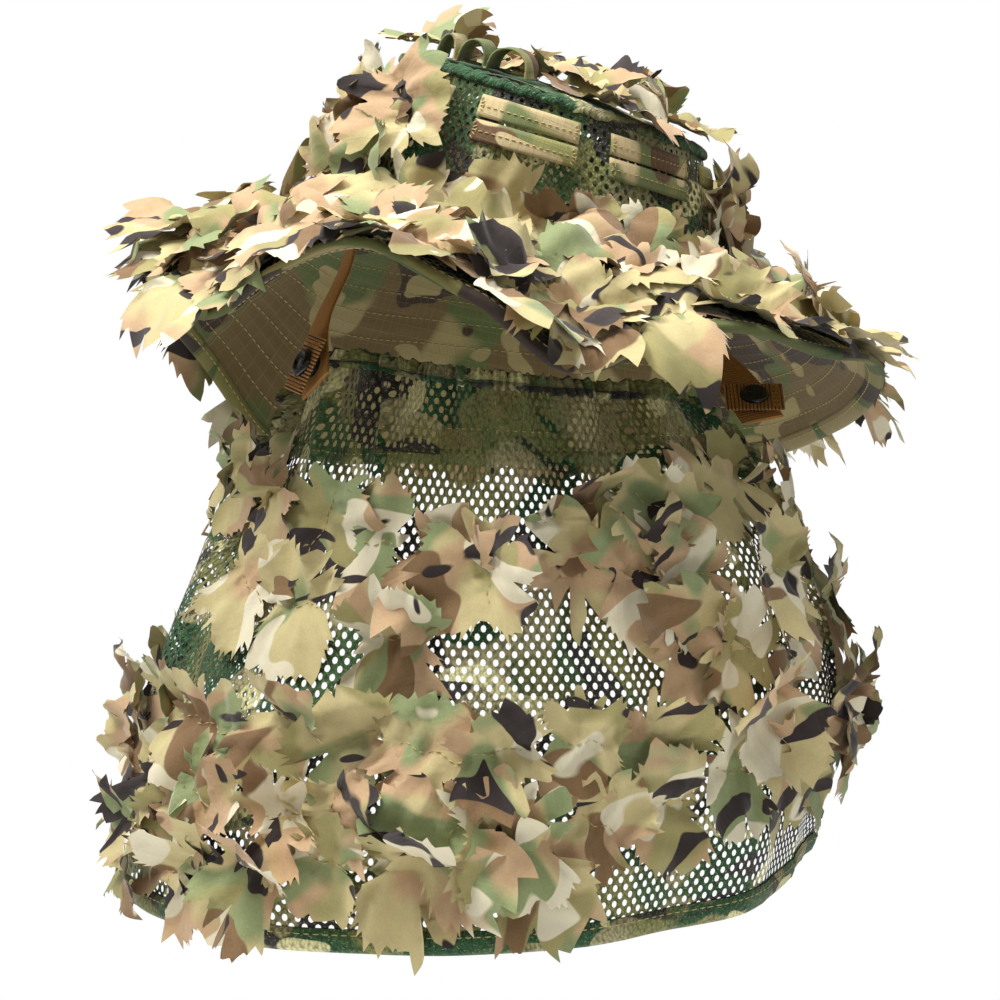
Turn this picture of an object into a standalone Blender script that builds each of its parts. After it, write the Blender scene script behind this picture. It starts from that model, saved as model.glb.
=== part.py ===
"""A bush hat with a mesh face veil held by two press studs, both trimmed with leaf-cut camouflage strips.

Metres. +Z is up, the wearer faces -Y, and the wearer's right side is at -X.
The origin is the middle of the head opening, at the lower edge of the crown.
The hat sits 12 degrees low on the wearer's left and its soft crown slouches that way, while the veil
hangs straight down.
"""

import math

import bmesh
import bpy
from mathutils import Matrix, Vector

# Crown
HEAD_X = 0.084
HEAD_Y = 0.103
CROWN_TOP_X = 0.069
CROWN_TOP_Y = 0.086
CROWN_HEIGHT = 0.076
CROWN_DOME = 0.007
CROWN_SWELL = 0.003
CROWN_SLOUCH = 0.11
HAT_ROLL = math.radians(12)
AROUND = 40
TOP_AROUND = 32
BRIM_AROUND = 60
SIDE_SEAM = 0.006
SEAM_TAPE_TALL = 0.0055
SEAM_TAPE_OUT = 0.0016
SWEATBAND_TALL = 0.030
SWEATBAND_IN = 0.0024

# Cloth
CLOTH = 0.0010
GAP = 0.0004
TAPE = 0.0008
LEAF_CLOTH = 0.0012
BRIM_LEAF_OUT = 0.0062
CROWN_LEAF_OUT = 0.0055

# Foliage loops
LOOPS_PER_ROW = 8
LOOP_SPAN = math.radians(34)
LOOP_TALL = 0.0095
UPPER_ROW = 0.0640
LOWER_ROW = 0.0530
LOOP_STAND_OFF = 0.0022
LOOP_BOW = 0.0012
FIRST_LOOP = math.radians(-75.5)

# Standing loops on the crown's top: where each starts and ends across the hat, and the strip's depth
TOP_LOOPS = [(-0.033, -0.025), (-0.023, -0.011), (-0.009, 0.009)]
TOP_LOOP_TALL = 0.0105
TOP_LOOP_FOOT = 0.0010
TOP_LOOP_DEPTHS = (-0.0745, -0.0695, -0.0645)

# Brim edge: angle from +X in degrees, reach beyond the crown, height
BRIM_EDGE = [
    (-172, 0.086, -0.015),
    (-160, 0.088, 0.012),
    (-145, 0.084, -0.014),
    (-130, 0.078, -0.027),
    (-110, 0.082, -0.012),
    (-92, 0.084, -0.005),
    (-76, 0.082, -0.024),
    (-61, 0.078, -0.052),
    (-42, 0.082, -0.037),
    (-20, 0.084, -0.041),
    (0, 0.082, -0.048),
    (30, 0.070, -0.070),
    (60, 0.062, -0.084),
    (95, 0.060, -0.086),
    (135, 0.060, -0.084),
    (165, 0.070, -0.078),
    (177, 0.080, -0.040),
]
BRIM_RINGS = 4
BRIM_LAYER_STEP = 0.0008
BINDING_REACH = 0.0050
BINDING_LIP = 0.0030
BINDING_FOLD = 0.0022
BINDING_HALF = 0.0032
BINDING_HOLLOW = 0.0024

# Veil, in polar coordinates about a vertical axis just ahead of the origin
VEIL_AXIS_Y = -0.030
VEIL_TOP_R = 0.092
VEIL_HEM_R = 0.148
VEIL_HEM_SHIFT = 0.020
VEIL_LOW_SIDE = math.radians(108)
VEIL_BULGE = 0.012
VEIL_HEM_Z = -0.270
VEIL_HEM_DIP = 0.017
VEIL_END = 114
FRONT_FROM = -28
FRONT_TO = 64
VEIL_TOP_EDGE = [
    (-114, -0.125),
    (-72, -0.090),
    (-60, -0.074),
    (-45, -0.050),
    (-28, -0.042),
    (0, -0.049),
    (40, -0.056),
    (70, -0.058),
    (92, -0.082),
    (114, -0.110),
]
SPLIT_GAP = math.radians(0.5)
HEM_TALL = 0.008
ELASTIC_TALL = 0.010
ELASTIC_THICK = 0.0012
HEM_OUT = 0.0016
ELASTIC_OUT = 0.0018
VEIL_ROWS = 9

# Leaf strips on the veil: upper edge, lower edge, distance from the mesh
VEIL_LEAVES = {"upper": (-0.122, -0.172, 0.010), "lower": (-0.205, -0.252, 0.012)}
VEIL_LEAF_FLARE = 0.010
VEIL_LEAF_WAVE = 0.008
VEIL_LEAF_LOW = 0.012

# Snaps
CAP_R = 0.0065
STUD_HEAD_R = 0.0021
TAB_WIDE = 0.020
TAB_LONG = 0.026
TAB_THICK = 0.0013
TAB_HOLE_R = 0.0016
TAB_TAIL = 0.011
SNAP_SPACE = 0.0040
SNAP_SIDES = 14
SNAP_CLEAR = 0.8 * GAP
FLANGE_R = 0.0050
SOCKET_R = 0.0060
SOCKET_HOLLOW_R = 0.0028
SOCKET_DEEP = 0.0026
SPRING_R = 0.0026
SPRING_THICK = 0.00025
CAP_POST_R = 0.0012

COLOURS = {
    "mesh": ((0.16, 0.19, 0.09), 0.9),
    "ripstop": ((0.25, 0.20, 0.11), 0.85),
    "leaf_cloth": ((0.50, 0.42, 0.26), 0.85),
    "tape": ((0.22, 0.24, 0.13), 0.85),
    "webbing": ((0.30, 0.14, 0.04), 0.8),
    "elastic": ((0.10, 0.13, 0.06), 0.9),
    "snap_black": ((0.01, 0.01, 0.01), 0.2),
    "snap_steel": ((0.05, 0.05, 0.05), 0.35),
}


def clear_scene():
    for item in list(bpy.data.objects):
        bpy.data.objects.remove(item, do_unlink=True)


def material(name):
    found = bpy.data.materials.get(name)
    if found:
        return found
    colour, roughness = COLOURS[name]
    made = bpy.data.materials.new(name)
    made.use_nodes = True
    shader = made.node_tree.nodes["Principled BSDF"]
    shader.inputs["Base Color"].default_value = (*colour, 1.0)
    shader.inputs["Roughness"].default_value = roughness
    shader.inputs["Metallic"].default_value = 0.8 if name == "snap_steel" else 0.0
    return made


def new_object(name, mesh_builder, slot, smooth_angle=40):
    mesh = bpy.data.meshes.new(name)
    mesh_builder.to_mesh(mesh)
    mesh_builder.free()
    mesh.shade_smooth()
    mesh.set_sharp_from_angle(angle=math.radians(smooth_angle))
    mesh.materials.append(material(slot))
    made = bpy.data.objects.new(name, mesh)
    bpy.context.scene.collection.objects.link(made)
    return made


def solidify(thing, thickness):
    layer = thing.modifiers.new("thickness", "SOLIDIFY")
    layer.thickness = thickness
    layer.offset = 0.0
    layer.use_even_offset = True
    return thing


def grid(name, rows, slot, thickness, closed=False):
    """A sheet through rows of points, given a thickness. A closed one joins its last column to its first."""
    builder = bmesh.new()
    made = [[builder.verts.new(point) for point in row] for row in rows]
    columns = len(rows[0])
    for low, high in zip(made, made[1:]):
        for i in range(columns if closed else columns - 1):
            j = (i + 1) % columns
            builder.faces.new((low[i], low[j], high[j], high[i]))
    return solidify(new_object(name, builder, slot), thickness)


def sweep(name, sections, slot, closed=False):
    """A solid through sections, each a ring of points, with filled ends unless it is closed."""
    builder = bmesh.new()
    made = [[builder.verts.new(point) for point in section] for section in sections]
    size = len(sections[0])
    pairs = list(zip(made, made[1:]))
    if closed:
        pairs.append((made[-1], made[0]))
    for first, second in pairs:
        for i in range(size):
            j = (i + 1) % size
            builder.faces.new((first[i], first[j], second[j], second[i]))
    if not closed:
        builder.faces.new(list(reversed(made[0])))
        builder.faces.new(made[-1])
    bmesh.ops.recalc_face_normals(builder, faces=builder.faces)
    return new_object(name, builder, slot)


def turned(name, profile, place, slot):
    """A solid of revolution from (radius, height) points, about the z axis of the matrix place."""
    builder = bmesh.new()
    rings = []
    for radius, height in profile:
        if radius < 1e-6:
            rings.append([builder.verts.new((0, 0, height))])
            continue
        ring = []
        for i in range(SNAP_SIDES):
            turn = 2 * math.pi * i / SNAP_SIDES
            ring.append(builder.verts.new((radius * math.cos(turn), radius * math.sin(turn), height)))
        rings.append(ring)
    pairs = list(zip(rings, rings[1:]))
    if len(rings[0]) > 1:
        pairs.append((rings[-1], rings[0]))
    for first, second in pairs:
        for i in range(SNAP_SIDES):
            j = (i + 1) % SNAP_SIDES
            if len(first) == 1:
                builder.faces.new((first[0], second[j], second[i]))
            elif len(second) == 1:
                builder.faces.new((first[i], first[j], second[0]))
            else:
                builder.faces.new((first[i], first[j], second[j], second[i]))
    bmesh.ops.recalc_face_normals(builder, faces=builder.faces)
    made = new_object(name, builder, slot)
    made.matrix_world = place
    return made


def curve_through(points, at, period=None):
    """The value at an abscissa of a smooth curve through (abscissa, value) points in rising order."""
    if period:
        before = [(x - period, y) for x, y in points]
        after = [(x + period, y) for x, y in points]
        points = before + points + after
    at = min(max(at, points[0][0]), points[-1][0])
    k = 0
    while k < len(points) - 2 and points[k + 1][0] < at:
        k += 1
    (x0, y0), (x1, y1) = points[k], points[k + 1]
    xa, ya = points[max(k - 1, 0)]
    xb, yb = points[min(k + 2, len(points) - 1)]
    slope0 = (y1 - ya) / (x1 - xa)
    slope1 = (yb - y0) / (xb - x0)
    span = x1 - x0
    t = (at - x0) / span
    value = (2 * t**3 - 3 * t**2 + 1) * y0 + (3 * t**2 - 2 * t**3) * y1
    return value + span * ((t**3 - 2 * t**2 + t) * slope0 + (t**3 - t**2) * slope1)


# ---------------------------------------------------------------- hat surfaces


def rolled(point):
    """A point of the upright hat, moved as the crown slouches to the wearer's left and the hat rolls."""
    x, y, z = point
    up = min(max(z / CROWN_HEIGHT, 0.0), 1.0)
    return Matrix.Rotation(HAT_ROLL, 3, "Y") @ Vector((x, y, z - CROWN_SLOUCH * x * up))


def crown_point(angle, height, out=0.0):
    """A point of the crown's side wall at a height, moved outwards from it."""
    t = height / CROWN_HEIGHT
    swell = CROWN_SWELL * math.sin(math.pi * min(max(t, 0), 1))
    half_x = HEAD_X + (CROWN_TOP_X - HEAD_X) * t + swell + out
    half_y = HEAD_Y + (CROWN_TOP_Y - HEAD_Y) * t + swell + out
    return rolled((half_x * math.cos(angle), half_y * math.sin(angle), height))


def dome_height(share):
    return CROWN_HEIGHT + 0.0015 + CROWN_DOME * (1 - share**2)


def dome_point(angle, share, lift=0.0):
    """A point of the crown's top, from its middle at share 0 to its rim at share 1."""
    height = dome_height(share) + lift
    half_x = CROWN_TOP_X * share
    half_y = CROWN_TOP_Y * share
    return rolled((half_x * math.cos(angle), half_y * math.sin(angle), height))


def brim_reach(angle):
    degrees = math.degrees(angle)
    return curve_through([(a, reach) for a, reach, _ in BRIM_EDGE], degrees, 360)


def brim_drop(angle):
    degrees = math.degrees(angle)
    return curve_through([(a, height) for a, _, height in BRIM_EDGE], degrees, 360)


def wrap(angle):
    return (angle + math.pi) % (2 * math.pi) - math.pi


def brim_middle(angle, share):
    """A point halfway through the brim, from the crown at share 0 to the edge at share 1, and beyond."""
    angle = wrap(angle)
    inner = crown_point(angle, 0.0, -0.0005)
    outward = Vector((inner.x, inner.y, 0)).normalized()
    along = min(share, 1.0)
    beyond = 1.5 * max(share - 1.0, 0.0)
    height = inner.z + (brim_drop(angle) - inner.z) * (along**1.5 + beyond)
    flat = inner + outward * brim_reach(angle) * share
    return Vector((flat.x, flat.y, height))


def brim_point(angle, share, out=0.0):
    """A point at a distance out above the brim's middle, square to it."""
    step = 0.02
    across = brim_middle(angle, share + step) - brim_middle(angle, max(share - step, 0.0))
    around = brim_middle(angle + step, share) - brim_middle(angle - step, share)
    return brim_middle(angle, share) + across.cross(around).normalized() * out


def turn_angles(count=AROUND):
    return [-math.pi + 2 * math.pi * i / count for i in range(count)]


# ---------------------------------------------------------------- hat pieces


def crown():
    half = AROUND // 2
    heights = [0.003, 0.020, 0.038, 0.056, CROWN_HEIGHT - 0.001]
    for side, start in (("left", -math.pi / 2), ("right", math.pi / 2)):
        angles = [start + SIDE_SEAM + (math.pi - 2 * SIDE_SEAM) * i / half for i in range(half + 1)]
        rows = [[crown_point(a, h) for a in angles] for h in heights]
        grid(f"crown_side_panel_{side}", rows, "mesh", CLOTH)
    builder = bmesh.new()
    centre = builder.verts.new(dome_point(0, 0))
    rings = []
    for share in (0.33, 0.67, 1.0):
        rings.append([builder.verts.new(dome_point(a, share)) for a in turn_angles(TOP_AROUND)])
    for i in range(TOP_AROUND):
        builder.faces.new((centre, rings[0][i], rings[0][(i + 1) % TOP_AROUND]))
    for inner, outer in zip(rings, rings[1:]):
        for i in range(TOP_AROUND):
            j = (i + 1) % TOP_AROUND
            builder.faces.new((inner[i], outer[i], outer[j], inner[j]))
    solidify(new_object("crown_top_panel", builder, "mesh"), CLOTH)
    tape_top = CROWN_HEIGHT - 0.0005
    tape_heights = (tape_top - SEAM_TAPE_TALL, tape_top)
    tape_rows = [[crown_point(a, h, SEAM_TAPE_OUT) for a in turn_angles()] for h in tape_heights]
    grid("crown_seam_tape", tape_rows, "tape", TAPE, closed=True)
    band_rows = []
    for height in (0.001, 0.001 + SWEATBAND_TALL / 2, 0.001 + SWEATBAND_TALL):
        band_rows.append([crown_point(a, height, -SWEATBAND_IN) for a in turn_angles()])
    grid("sweatband", band_rows, "ripstop", CLOTH, closed=True)


def brim():
    shares = [i / BRIM_RINGS for i in range(BRIM_RINGS + 1)]
    layers = {"brim_top_mesh": ("mesh", BRIM_LAYER_STEP), "brim_lining": ("ripstop", -BRIM_LAYER_STEP)}
    for name, (slot, lift) in layers.items():
        rows = [[brim_point(a, s, lift) for a in turn_angles(BRIM_AROUND)] for s in shares]
        grid(name, rows, slot, CLOTH, closed=True)
    # The binding's section is a U folded round the edge, as (outwards, upwards) from the edge
    outside = [
        (-BINDING_REACH, BINDING_HALF),
        (BINDING_LIP, BINDING_HALF),
        (BINDING_LIP, -BINDING_HALF),
        (-BINDING_REACH, -BINDING_HALF),
    ]
    inside = [
        (-BINDING_REACH, -BINDING_HOLLOW),
        (BINDING_FOLD, -BINDING_HOLLOW),
        (BINDING_FOLD, BINDING_HOLLOW),
        (-BINDING_REACH, BINDING_HOLLOW),
    ]
    sections = []
    for angle in turn_angles(BRIM_AROUND):
        edge = brim_point(angle, 1.0)
        outward = (edge - brim_point(angle, 0.96)).normalized()
        along = (brim_point(angle + 0.02, 1.0) - brim_point(angle - 0.02, 1.0)).normalized()
        normal = outward.cross(along).normalized()
        sections.append([edge + outward * a + normal * b for a, b in outside + inside])
    sweep("brim_binding", sections, "tape", closed=True)


def foliage_loops():
    step = 2 * math.pi / LOOPS_PER_ROW
    for row, middle in (("upper", UPPER_ROW), ("lower", LOWER_ROW)):
        for number in range(LOOPS_PER_ROW):
            centre = FIRST_LOOP + number * step
            angles = [centre + LOOP_SPAN * (i / 4 - 0.5) for i in range(5)]
            bow = [LOOP_STAND_OFF + LOOP_BOW * math.sin(math.pi * i / 4) for i in range(5)]
            heights = (middle - LOOP_TALL / 2, middle + LOOP_TALL / 2)
            rows = [[crown_point(a, h, b) for a, b in zip(angles, bow)] for h in heights]
            grid(f"foliage_loop_{row}_{number + 1}", rows, "ripstop", CLOTH)


def top_loop_strip():
    """Three standing arches in one strip, along the front of the crown's top."""
    path = []
    for start, end in TOP_LOOPS:
        path.append((start - TOP_LOOP_FOOT, 0.0))
        for i in range(9):
            turn = math.pi * i / 8
            x = (start + end) / 2 - (end - start) / 2 * math.cos(turn)
            path.append((x, TOP_LOOP_TALL * math.sin(turn) ** 0.7 if 0 < i < 8 else 0.0))
        path.append((end + TOP_LOOP_FOOT, 0.0))
    rows = []
    for depth in TOP_LOOP_DEPTHS:
        row = []
        for x, z in path:
            share = math.hypot(x / CROWN_TOP_X, depth / CROWN_TOP_Y)
            row.append(rolled((x, depth, dome_height(share) + CLOTH + 2 * GAP + z)))
        rows.append(row)
    grid("top_loop_strip", rows, "ripstop", CLOTH)


def hat_leaf_strips():
    cuts_of = {"outer": (0.52, 0.70, 0.86, 1.0, 1.16), "inner": (0.12, 0.30, 0.46)}
    for name, cuts in cuts_of.items():
        rows = [[brim_point(a, s, BRIM_LEAF_OUT) for a in turn_angles(BRIM_AROUND)] for s in cuts]
        grid(f"leaf_strip_brim_{name}", rows, "leaf_cloth", LEAF_CLOTH, closed=True)
    rows = [[crown_point(a, h, CROWN_LEAF_OUT) for a in turn_angles()] for h in (0.016, 0.030, 0.044)]
    grid("leaf_strip_crown", rows, "leaf_cloth", LEAF_CLOTH, closed=True)
    # The tuft covers the top but for its front, and rises towards the rim
    first, last, steps = math.radians(-60), math.radians(240), 20
    angles = [first + (last - first) * i / steps for i in range(steps + 1)]
    rows = [[dome_point(a, s, 0.006 + 0.012 * s) for a in angles] for s in (0.25, 0.6, 0.95)]
    grid("leaf_tuft_top", rows, "leaf_cloth", LEAF_CLOTH)


# ---------------------------------------------------------------- veil


def veil_radius(angle, depth):
    """The veil's distance from its axis, at an angle from the front and a depth from 0 at the top to 1."""
    hem = VEIL_HEM_R - VEIL_HEM_SHIFT * math.cos(angle - VEIL_LOW_SIDE)
    share = math.sin(math.pi / 2 * depth) ** 1.2 if depth > 0 else 0.0
    bulge = VEIL_BULGE * (1 + math.cos(angle - VEIL_LOW_SIDE)) * math.sin(math.pi * depth)
    return VEIL_TOP_R + (hem - VEIL_TOP_R) * share + bulge


def veil_top(angle):
    return curve_through(VEIL_TOP_EDGE, math.degrees(angle))


def veil_hem(angle):
    return VEIL_HEM_Z - VEIL_HEM_DIP * math.cos(angle)


def veil_point(angle, level, out=0.0):
    highest = max(height for _, height in VEIL_TOP_EDGE)
    depth = (highest - level) / (highest - VEIL_HEM_Z + VEIL_HEM_DIP)
    radius = veil_radius(angle, min(max(depth, 0.0), 1.0)) + out
    return Vector((radius * math.sin(angle), VEIL_AXIS_Y - radius * math.cos(angle), level))


def spread(low, high, count):
    return [low + (high - low) * i / count for i in range(count + 1)]


def veil_rows(angles, top, bottom, count, out=0.0):
    """Rows of points between two edges, each a function of the angle."""
    rows = []
    for share in spread(0.0, 1.0, count):
        rows.append([veil_point(a, top(a) + (bottom(a) - top(a)) * share, out) for a in angles])
    return rows


def veil():
    start = math.radians(FRONT_FROM)
    stop = math.radians(FRONT_TO)
    end = math.radians(VEIL_END)
    parts = {
        "front": spread(start + SPLIT_GAP, stop - SPLIT_GAP, 14),
        "right": spread(-end, start - SPLIT_GAP, 12),
        "left": spread(stop + SPLIT_GAP, end, 8),
    }
    for name, angles in parts.items():
        label = "veil_front_panel" if name == "front" else f"veil_side_panel_{name}"
        grid(label, veil_rows(angles, veil_top, veil_hem, VEIL_ROWS), "mesh", CLOTH)
        hem_rows = veil_rows(angles, hem_upper_edge, hem_lower_edge, 1, HEM_OUT)
        grid(f"hem_{name}", hem_rows, "tape", TAPE)
        label = "nose_elastic" if name == "front" else f"cheek_elastic_{name}"
        band_rows = veil_rows(angles, elastic_upper_edge, elastic_lower_edge, 1, ELASTIC_OUT)
        grid(label, band_rows, "elastic", ELASTIC_THICK)
    return parts


def hem_upper_edge(angle):
    return veil_hem(angle) + HEM_TALL


def hem_lower_edge(angle):
    return veil_hem(angle) - 0.001


def elastic_upper_edge(angle):
    return veil_top(angle) + 0.0005


def elastic_lower_edge(angle):
    return veil_top(angle) - ELASTIC_TALL


def veil_leaf_strips(parts):
    """Strips of leaf cloth, standing further off the mesh towards their lower edges."""
    for name, angles in parts.items():
        low = VEIL_LEAF_LOW if name == "right" else 0.0
        for level, (top, bottom, out) in VEIL_LEAVES.items():
            rows = []
            for share in spread(0.0, 1.0, 3):
                drop = top + (bottom - top) * share - low
                away = out + VEIL_LEAF_FLARE * share
                rows.append([veil_point(a, drop + VEIL_LEAF_WAVE * math.sin(5 * a), away) for a in angles])
            grid(f"leaf_strip_{name}_{level}", rows, "leaf_cloth", LEAF_CLOTH)


# ---------------------------------------------------------------- snaps

# Each snap: its middle on the hat tab's outer face, the direction it faces, the way the veil's tab runs
# from its sewn end, and the way and the length that the hat's tab runs up under the brim.
SNAPS = {
    "right": {
        "middle": Vector((-0.0556, -0.1155, -0.0500)),
        "facing": Vector((-0.631, -0.678, 0.377)),
        "veil_run": Vector((0.400, 0.130, 0.906)),
        "hat_run": Vector((-0.265, 0.645, 0.717)),
        "hat_length": 0.070,
    },
    "left": {
        "middle": Vector((0.1113, -0.0104, -0.0650)),
        "facing": Vector((0.185, -0.571, 0.800)),
        "veil_run": Vector((0.951, 0.309, 0.0)),
        "hat_run": Vector((-0.530, 0.600, 0.600)),
        "hat_length": 0.058,
    },
}


def frame_at(origin, normal, run):
    """A matrix with z along the normal and y along the run."""
    z = normal.normalized()
    y = (run - z * run.dot(z)).normalized()
    x = y.cross(z)
    turn = Matrix((x, y, z)).transposed().to_4x4()
    return Matrix.Translation(origin) @ turn


def tab(name, place, start, end):
    """A flat webbing strip from start to end along the place's y axis, pierced at the place's origin."""
    builder = bmesh.new()
    bmesh.ops.create_cube(builder, size=1.0)
    middle = (start + end) / 2
    bmesh.ops.scale(builder, vec=(TAB_WIDE, end - start, TAB_THICK), verts=builder.verts)
    bmesh.ops.translate(builder, vec=(0, middle, TAB_THICK / 2), verts=builder.verts)
    strip = new_object(name, builder, "webbing")
    strip.matrix_world = place
    drill = bmesh.new()
    bmesh.ops.create_cone(
        drill, cap_ends=True, segments=16, radius1=TAB_HOLE_R, radius2=TAB_HOLE_R, depth=4 * TAB_THICK
    )
    cutter = new_object(f"{name}_drill", drill, "webbing")
    cutter.matrix_world = place @ Matrix.Translation((0, 0, TAB_THICK / 2))
    cutter.hide_render = True
    cutter.display_type = "WIRE"
    cut = strip.modifiers.new("hole", "BOOLEAN")
    cut.operation = "DIFFERENCE"
    cut.solver = "EXACT"
    cut.object = cutter
    return strip


def snap(side, facts):
    hat_place = frame_at(facts["middle"], facts["facing"], facts["hat_run"])
    veil_place = frame_at(facts["middle"], facts["facing"], facts["veil_run"])
    tab(f"hat_snap_tab_{side}", hat_place, -TAB_TAIL, facts["hat_length"])
    veil_tab_place = veil_place @ Matrix.Translation((0, 0, TAB_THICK + SNAP_SPACE))
    tab(f"veil_snap_tab_{side}", veil_tab_place, -TAB_LONG / 2, TAB_LONG / 2)
    lip = SNAP_CLEAR
    top = TAB_THICK
    stud = [
        (0, top + 0.0030),
        (STUD_HEAD_R * 0.7, top + 0.0029),
        (STUD_HEAD_R, top + 0.0023),
        (STUD_HEAD_R * 0.8, top + 0.0015),
        (STUD_HEAD_R * 0.85, top + 0.0010),
        (FLANGE_R - 0.0002, top + 0.0009),
        (FLANGE_R, top + lip),
        (0, top + lip),
    ]
    turned(f"snap_stud_{side}", stud, hat_place, "snap_steel")
    post = [
        (0, -lip),
        (FLANGE_R, -lip),
        (FLANGE_R - 0.0004, -0.0012),
        (0, -0.0014),
    ]
    turned(f"snap_post_{side}", post, hat_place, "snap_steel")
    base = TAB_THICK + SNAP_SPACE
    floor = base - lip - 0.0006
    socket = [
        (SOCKET_HOLLOW_R, floor),
        (SOCKET_HOLLOW_R, base - SOCKET_DEEP),
        (SOCKET_R - 0.0002, base - SOCKET_DEEP),
        (SOCKET_R, base - SOCKET_DEEP + 0.0004),
        (SOCKET_R, base - lip),
        (CAP_POST_R + 0.0006, base - lip),
        (CAP_POST_R + 0.0006, floor),
    ]
    turned(f"snap_socket_{side}", socket, veil_place, "snap_steel")
    spring = [
        (SPRING_R, base - 0.0021),
        (SPRING_R, base - 0.0015),
        (SPRING_R - SPRING_THICK, base - 0.0015),
        (SPRING_R - SPRING_THICK, base - 0.0021),
    ]
    turned(f"snap_spring_{side}", spring, veil_place, "snap_steel")
    face = base + TAB_THICK
    cap = [
        (0, face + 0.0019),
        (CAP_R * 0.45, face + 0.0020),
        (CAP_R * 0.62, face + 0.0024),
        (CAP_R * 0.85, face + 0.0020),
        (CAP_R, face + 0.0010),
        (CAP_R, face + lip),
        (CAP_POST_R, face + lip),
        (CAP_POST_R, base - lip),
        (0, base - lip),
    ]
    turned(f"snap_cap_{side}", cap, veil_place, "snap_black")


def main():
    clear_scene()
    crown()
    brim()
    foliage_loops()
    top_loop_strip()
    hat_leaf_strips()
    veil_leaf_strips(veil())
    for side, facts in SNAPS.items():
        snap(side, facts)


main()
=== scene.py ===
"""The looks of a camouflage bush hat with a mesh face veil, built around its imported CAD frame.

Metres, +Z up. The wearer faces -Y, and the wearer's right is at -X. The hat's and the veil's surfaces
repeat the formulas of the CAD, so every cloth lies where its CAD solid lies.
"""

import math

import bmesh
import bpy
import numpy as np
from mathutils import Matrix, Vector
from mathutils.bvhtree import BVHTree
from mathutils.geometry import delaunay_2d_cdt


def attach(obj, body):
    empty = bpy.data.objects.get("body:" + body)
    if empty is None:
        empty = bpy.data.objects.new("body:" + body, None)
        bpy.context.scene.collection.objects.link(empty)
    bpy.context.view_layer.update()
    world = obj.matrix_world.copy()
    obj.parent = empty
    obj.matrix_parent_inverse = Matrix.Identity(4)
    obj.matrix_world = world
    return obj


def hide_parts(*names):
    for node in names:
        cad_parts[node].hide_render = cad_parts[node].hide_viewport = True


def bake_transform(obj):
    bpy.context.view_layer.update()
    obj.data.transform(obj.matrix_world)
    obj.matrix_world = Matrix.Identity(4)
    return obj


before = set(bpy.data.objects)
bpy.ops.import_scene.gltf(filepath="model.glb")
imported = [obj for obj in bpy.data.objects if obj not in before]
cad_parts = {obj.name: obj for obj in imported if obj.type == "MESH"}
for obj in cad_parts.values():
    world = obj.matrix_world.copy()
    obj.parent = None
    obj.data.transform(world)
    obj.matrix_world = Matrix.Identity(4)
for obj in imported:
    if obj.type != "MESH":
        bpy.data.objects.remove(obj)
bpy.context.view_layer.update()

TURN = 2 * math.pi

# Crown
HEAD_X = 0.084
HEAD_Y = 0.103
CROWN_TOP_X = 0.069
CROWN_TOP_Y = 0.086
CROWN_HEIGHT = 0.076
CROWN_DOME = 0.007
DOME_BASE = 0.0015
CROWN_SWELL = 0.003
CROWN_SLOUCH = 0.11
HAT_ROLL = math.radians(12)
SWEATBAND_TALL = 0.032

# Brim edge: angle from +X in degrees, reach beyond the crown, height
BRIM_EDGE = [
    (-172, 0.086, -0.015),
    (-160, 0.088, 0.012),
    (-145, 0.084, -0.014),
    (-130, 0.078, -0.027),
    (-110, 0.082, -0.012),
    (-92, 0.084, -0.005),
    (-76, 0.082, -0.024),
    (-61, 0.078, -0.052),
    (-42, 0.082, -0.037),
    (-20, 0.084, -0.041),
    (0, 0.082, -0.048),
    (30, 0.070, -0.070),
    (60, 0.062, -0.084),
    (95, 0.060, -0.086),
    (135, 0.060, -0.084),
    (165, 0.070, -0.078),
    (177, 0.080, -0.040),
]
BRIM_LAYER_STEP = 0.0008
BRIM_WAVE = 0.0024
STITCH_ROWS = 9
BINDING_HALF_WIDE = 0.0046
BINDING_HALF_THICK = 0.0022

# Foliage loops: two rows of strips round the crown, with the height of each row's middle
LOOP_ROWS = {"upper": 0.0640, "lower": 0.0530}
LOOPS_PER_ROW = 8
LOOP_TALL = 0.0095
LOOP_SPAN = math.radians(34)
LOOP_ARCH = 0.0014
LOOP_OUT = 0.0022
FIRST_LOOP = math.radians(-75.5)

# Standing loops on the crown's top: where each starts and ends across the hat
TOP_LOOPS = [(-0.033, -0.025), (-0.023, -0.011), (-0.009, 0.009)]
TOP_LOOP_TALL = 0.0105
TOP_LOOP_FRONT = -0.0770
TOP_LOOP_BACK = -0.0610

# Veil, in polar coordinates about an upright axis just ahead of the origin
VEIL_AXIS_Y = -0.030
VEIL_TOP_R = 0.092
VEIL_HEM_R = 0.148
VEIL_HEM_SHIFT = 0.020
VEIL_LOW_SIDE = math.radians(108)
VEIL_BULGE = 0.012
VEIL_HEM_Z = -0.270
VEIL_HEM_DIP = 0.017
GATHER_DEPTH = 0.0034
RIDGE_DEPTH = 0.0050
FOLD_DEPTH = 0.0052
VEIL_TOP_EDGE = [
    (-114, -0.125),
    (-72, -0.090),
    (-60, -0.074),
    (-45, -0.050),
    (-28, -0.042),
    (0, -0.049),
    (40, -0.056),
    (70, -0.058),
    (92, -0.082),
    (114, -0.110),
]
VEIL_PARTS = {"front": (-28, 64), "right": (-114, -28), "left": (64, 114)}

# Elastic in its casing along the veil's top edge: half its section, and how far its middle is below
# the edge and outside the mesh
CASING_HALF_TALL = 0.0040
CASING_HALF_THICK = 0.0018
CASING_BELOW = 0.0036
CASING_OUT = 0.0006

# Knitted mesh
HOLE_PITCH = 0.0049
HOLE_ROW = 0.0033
# In half cells: a hole's half width and half height, and how far a honeycomb's corners stand up or down
HOLE_HALF = (0.46, 0.88)
CELL_WAVER = 0.46
CELL_RING = ((0, 0), (1, 0), (2, 0), (2, 1), (2, 2), (1, 2), (0, 2), (0, 1))

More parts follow.
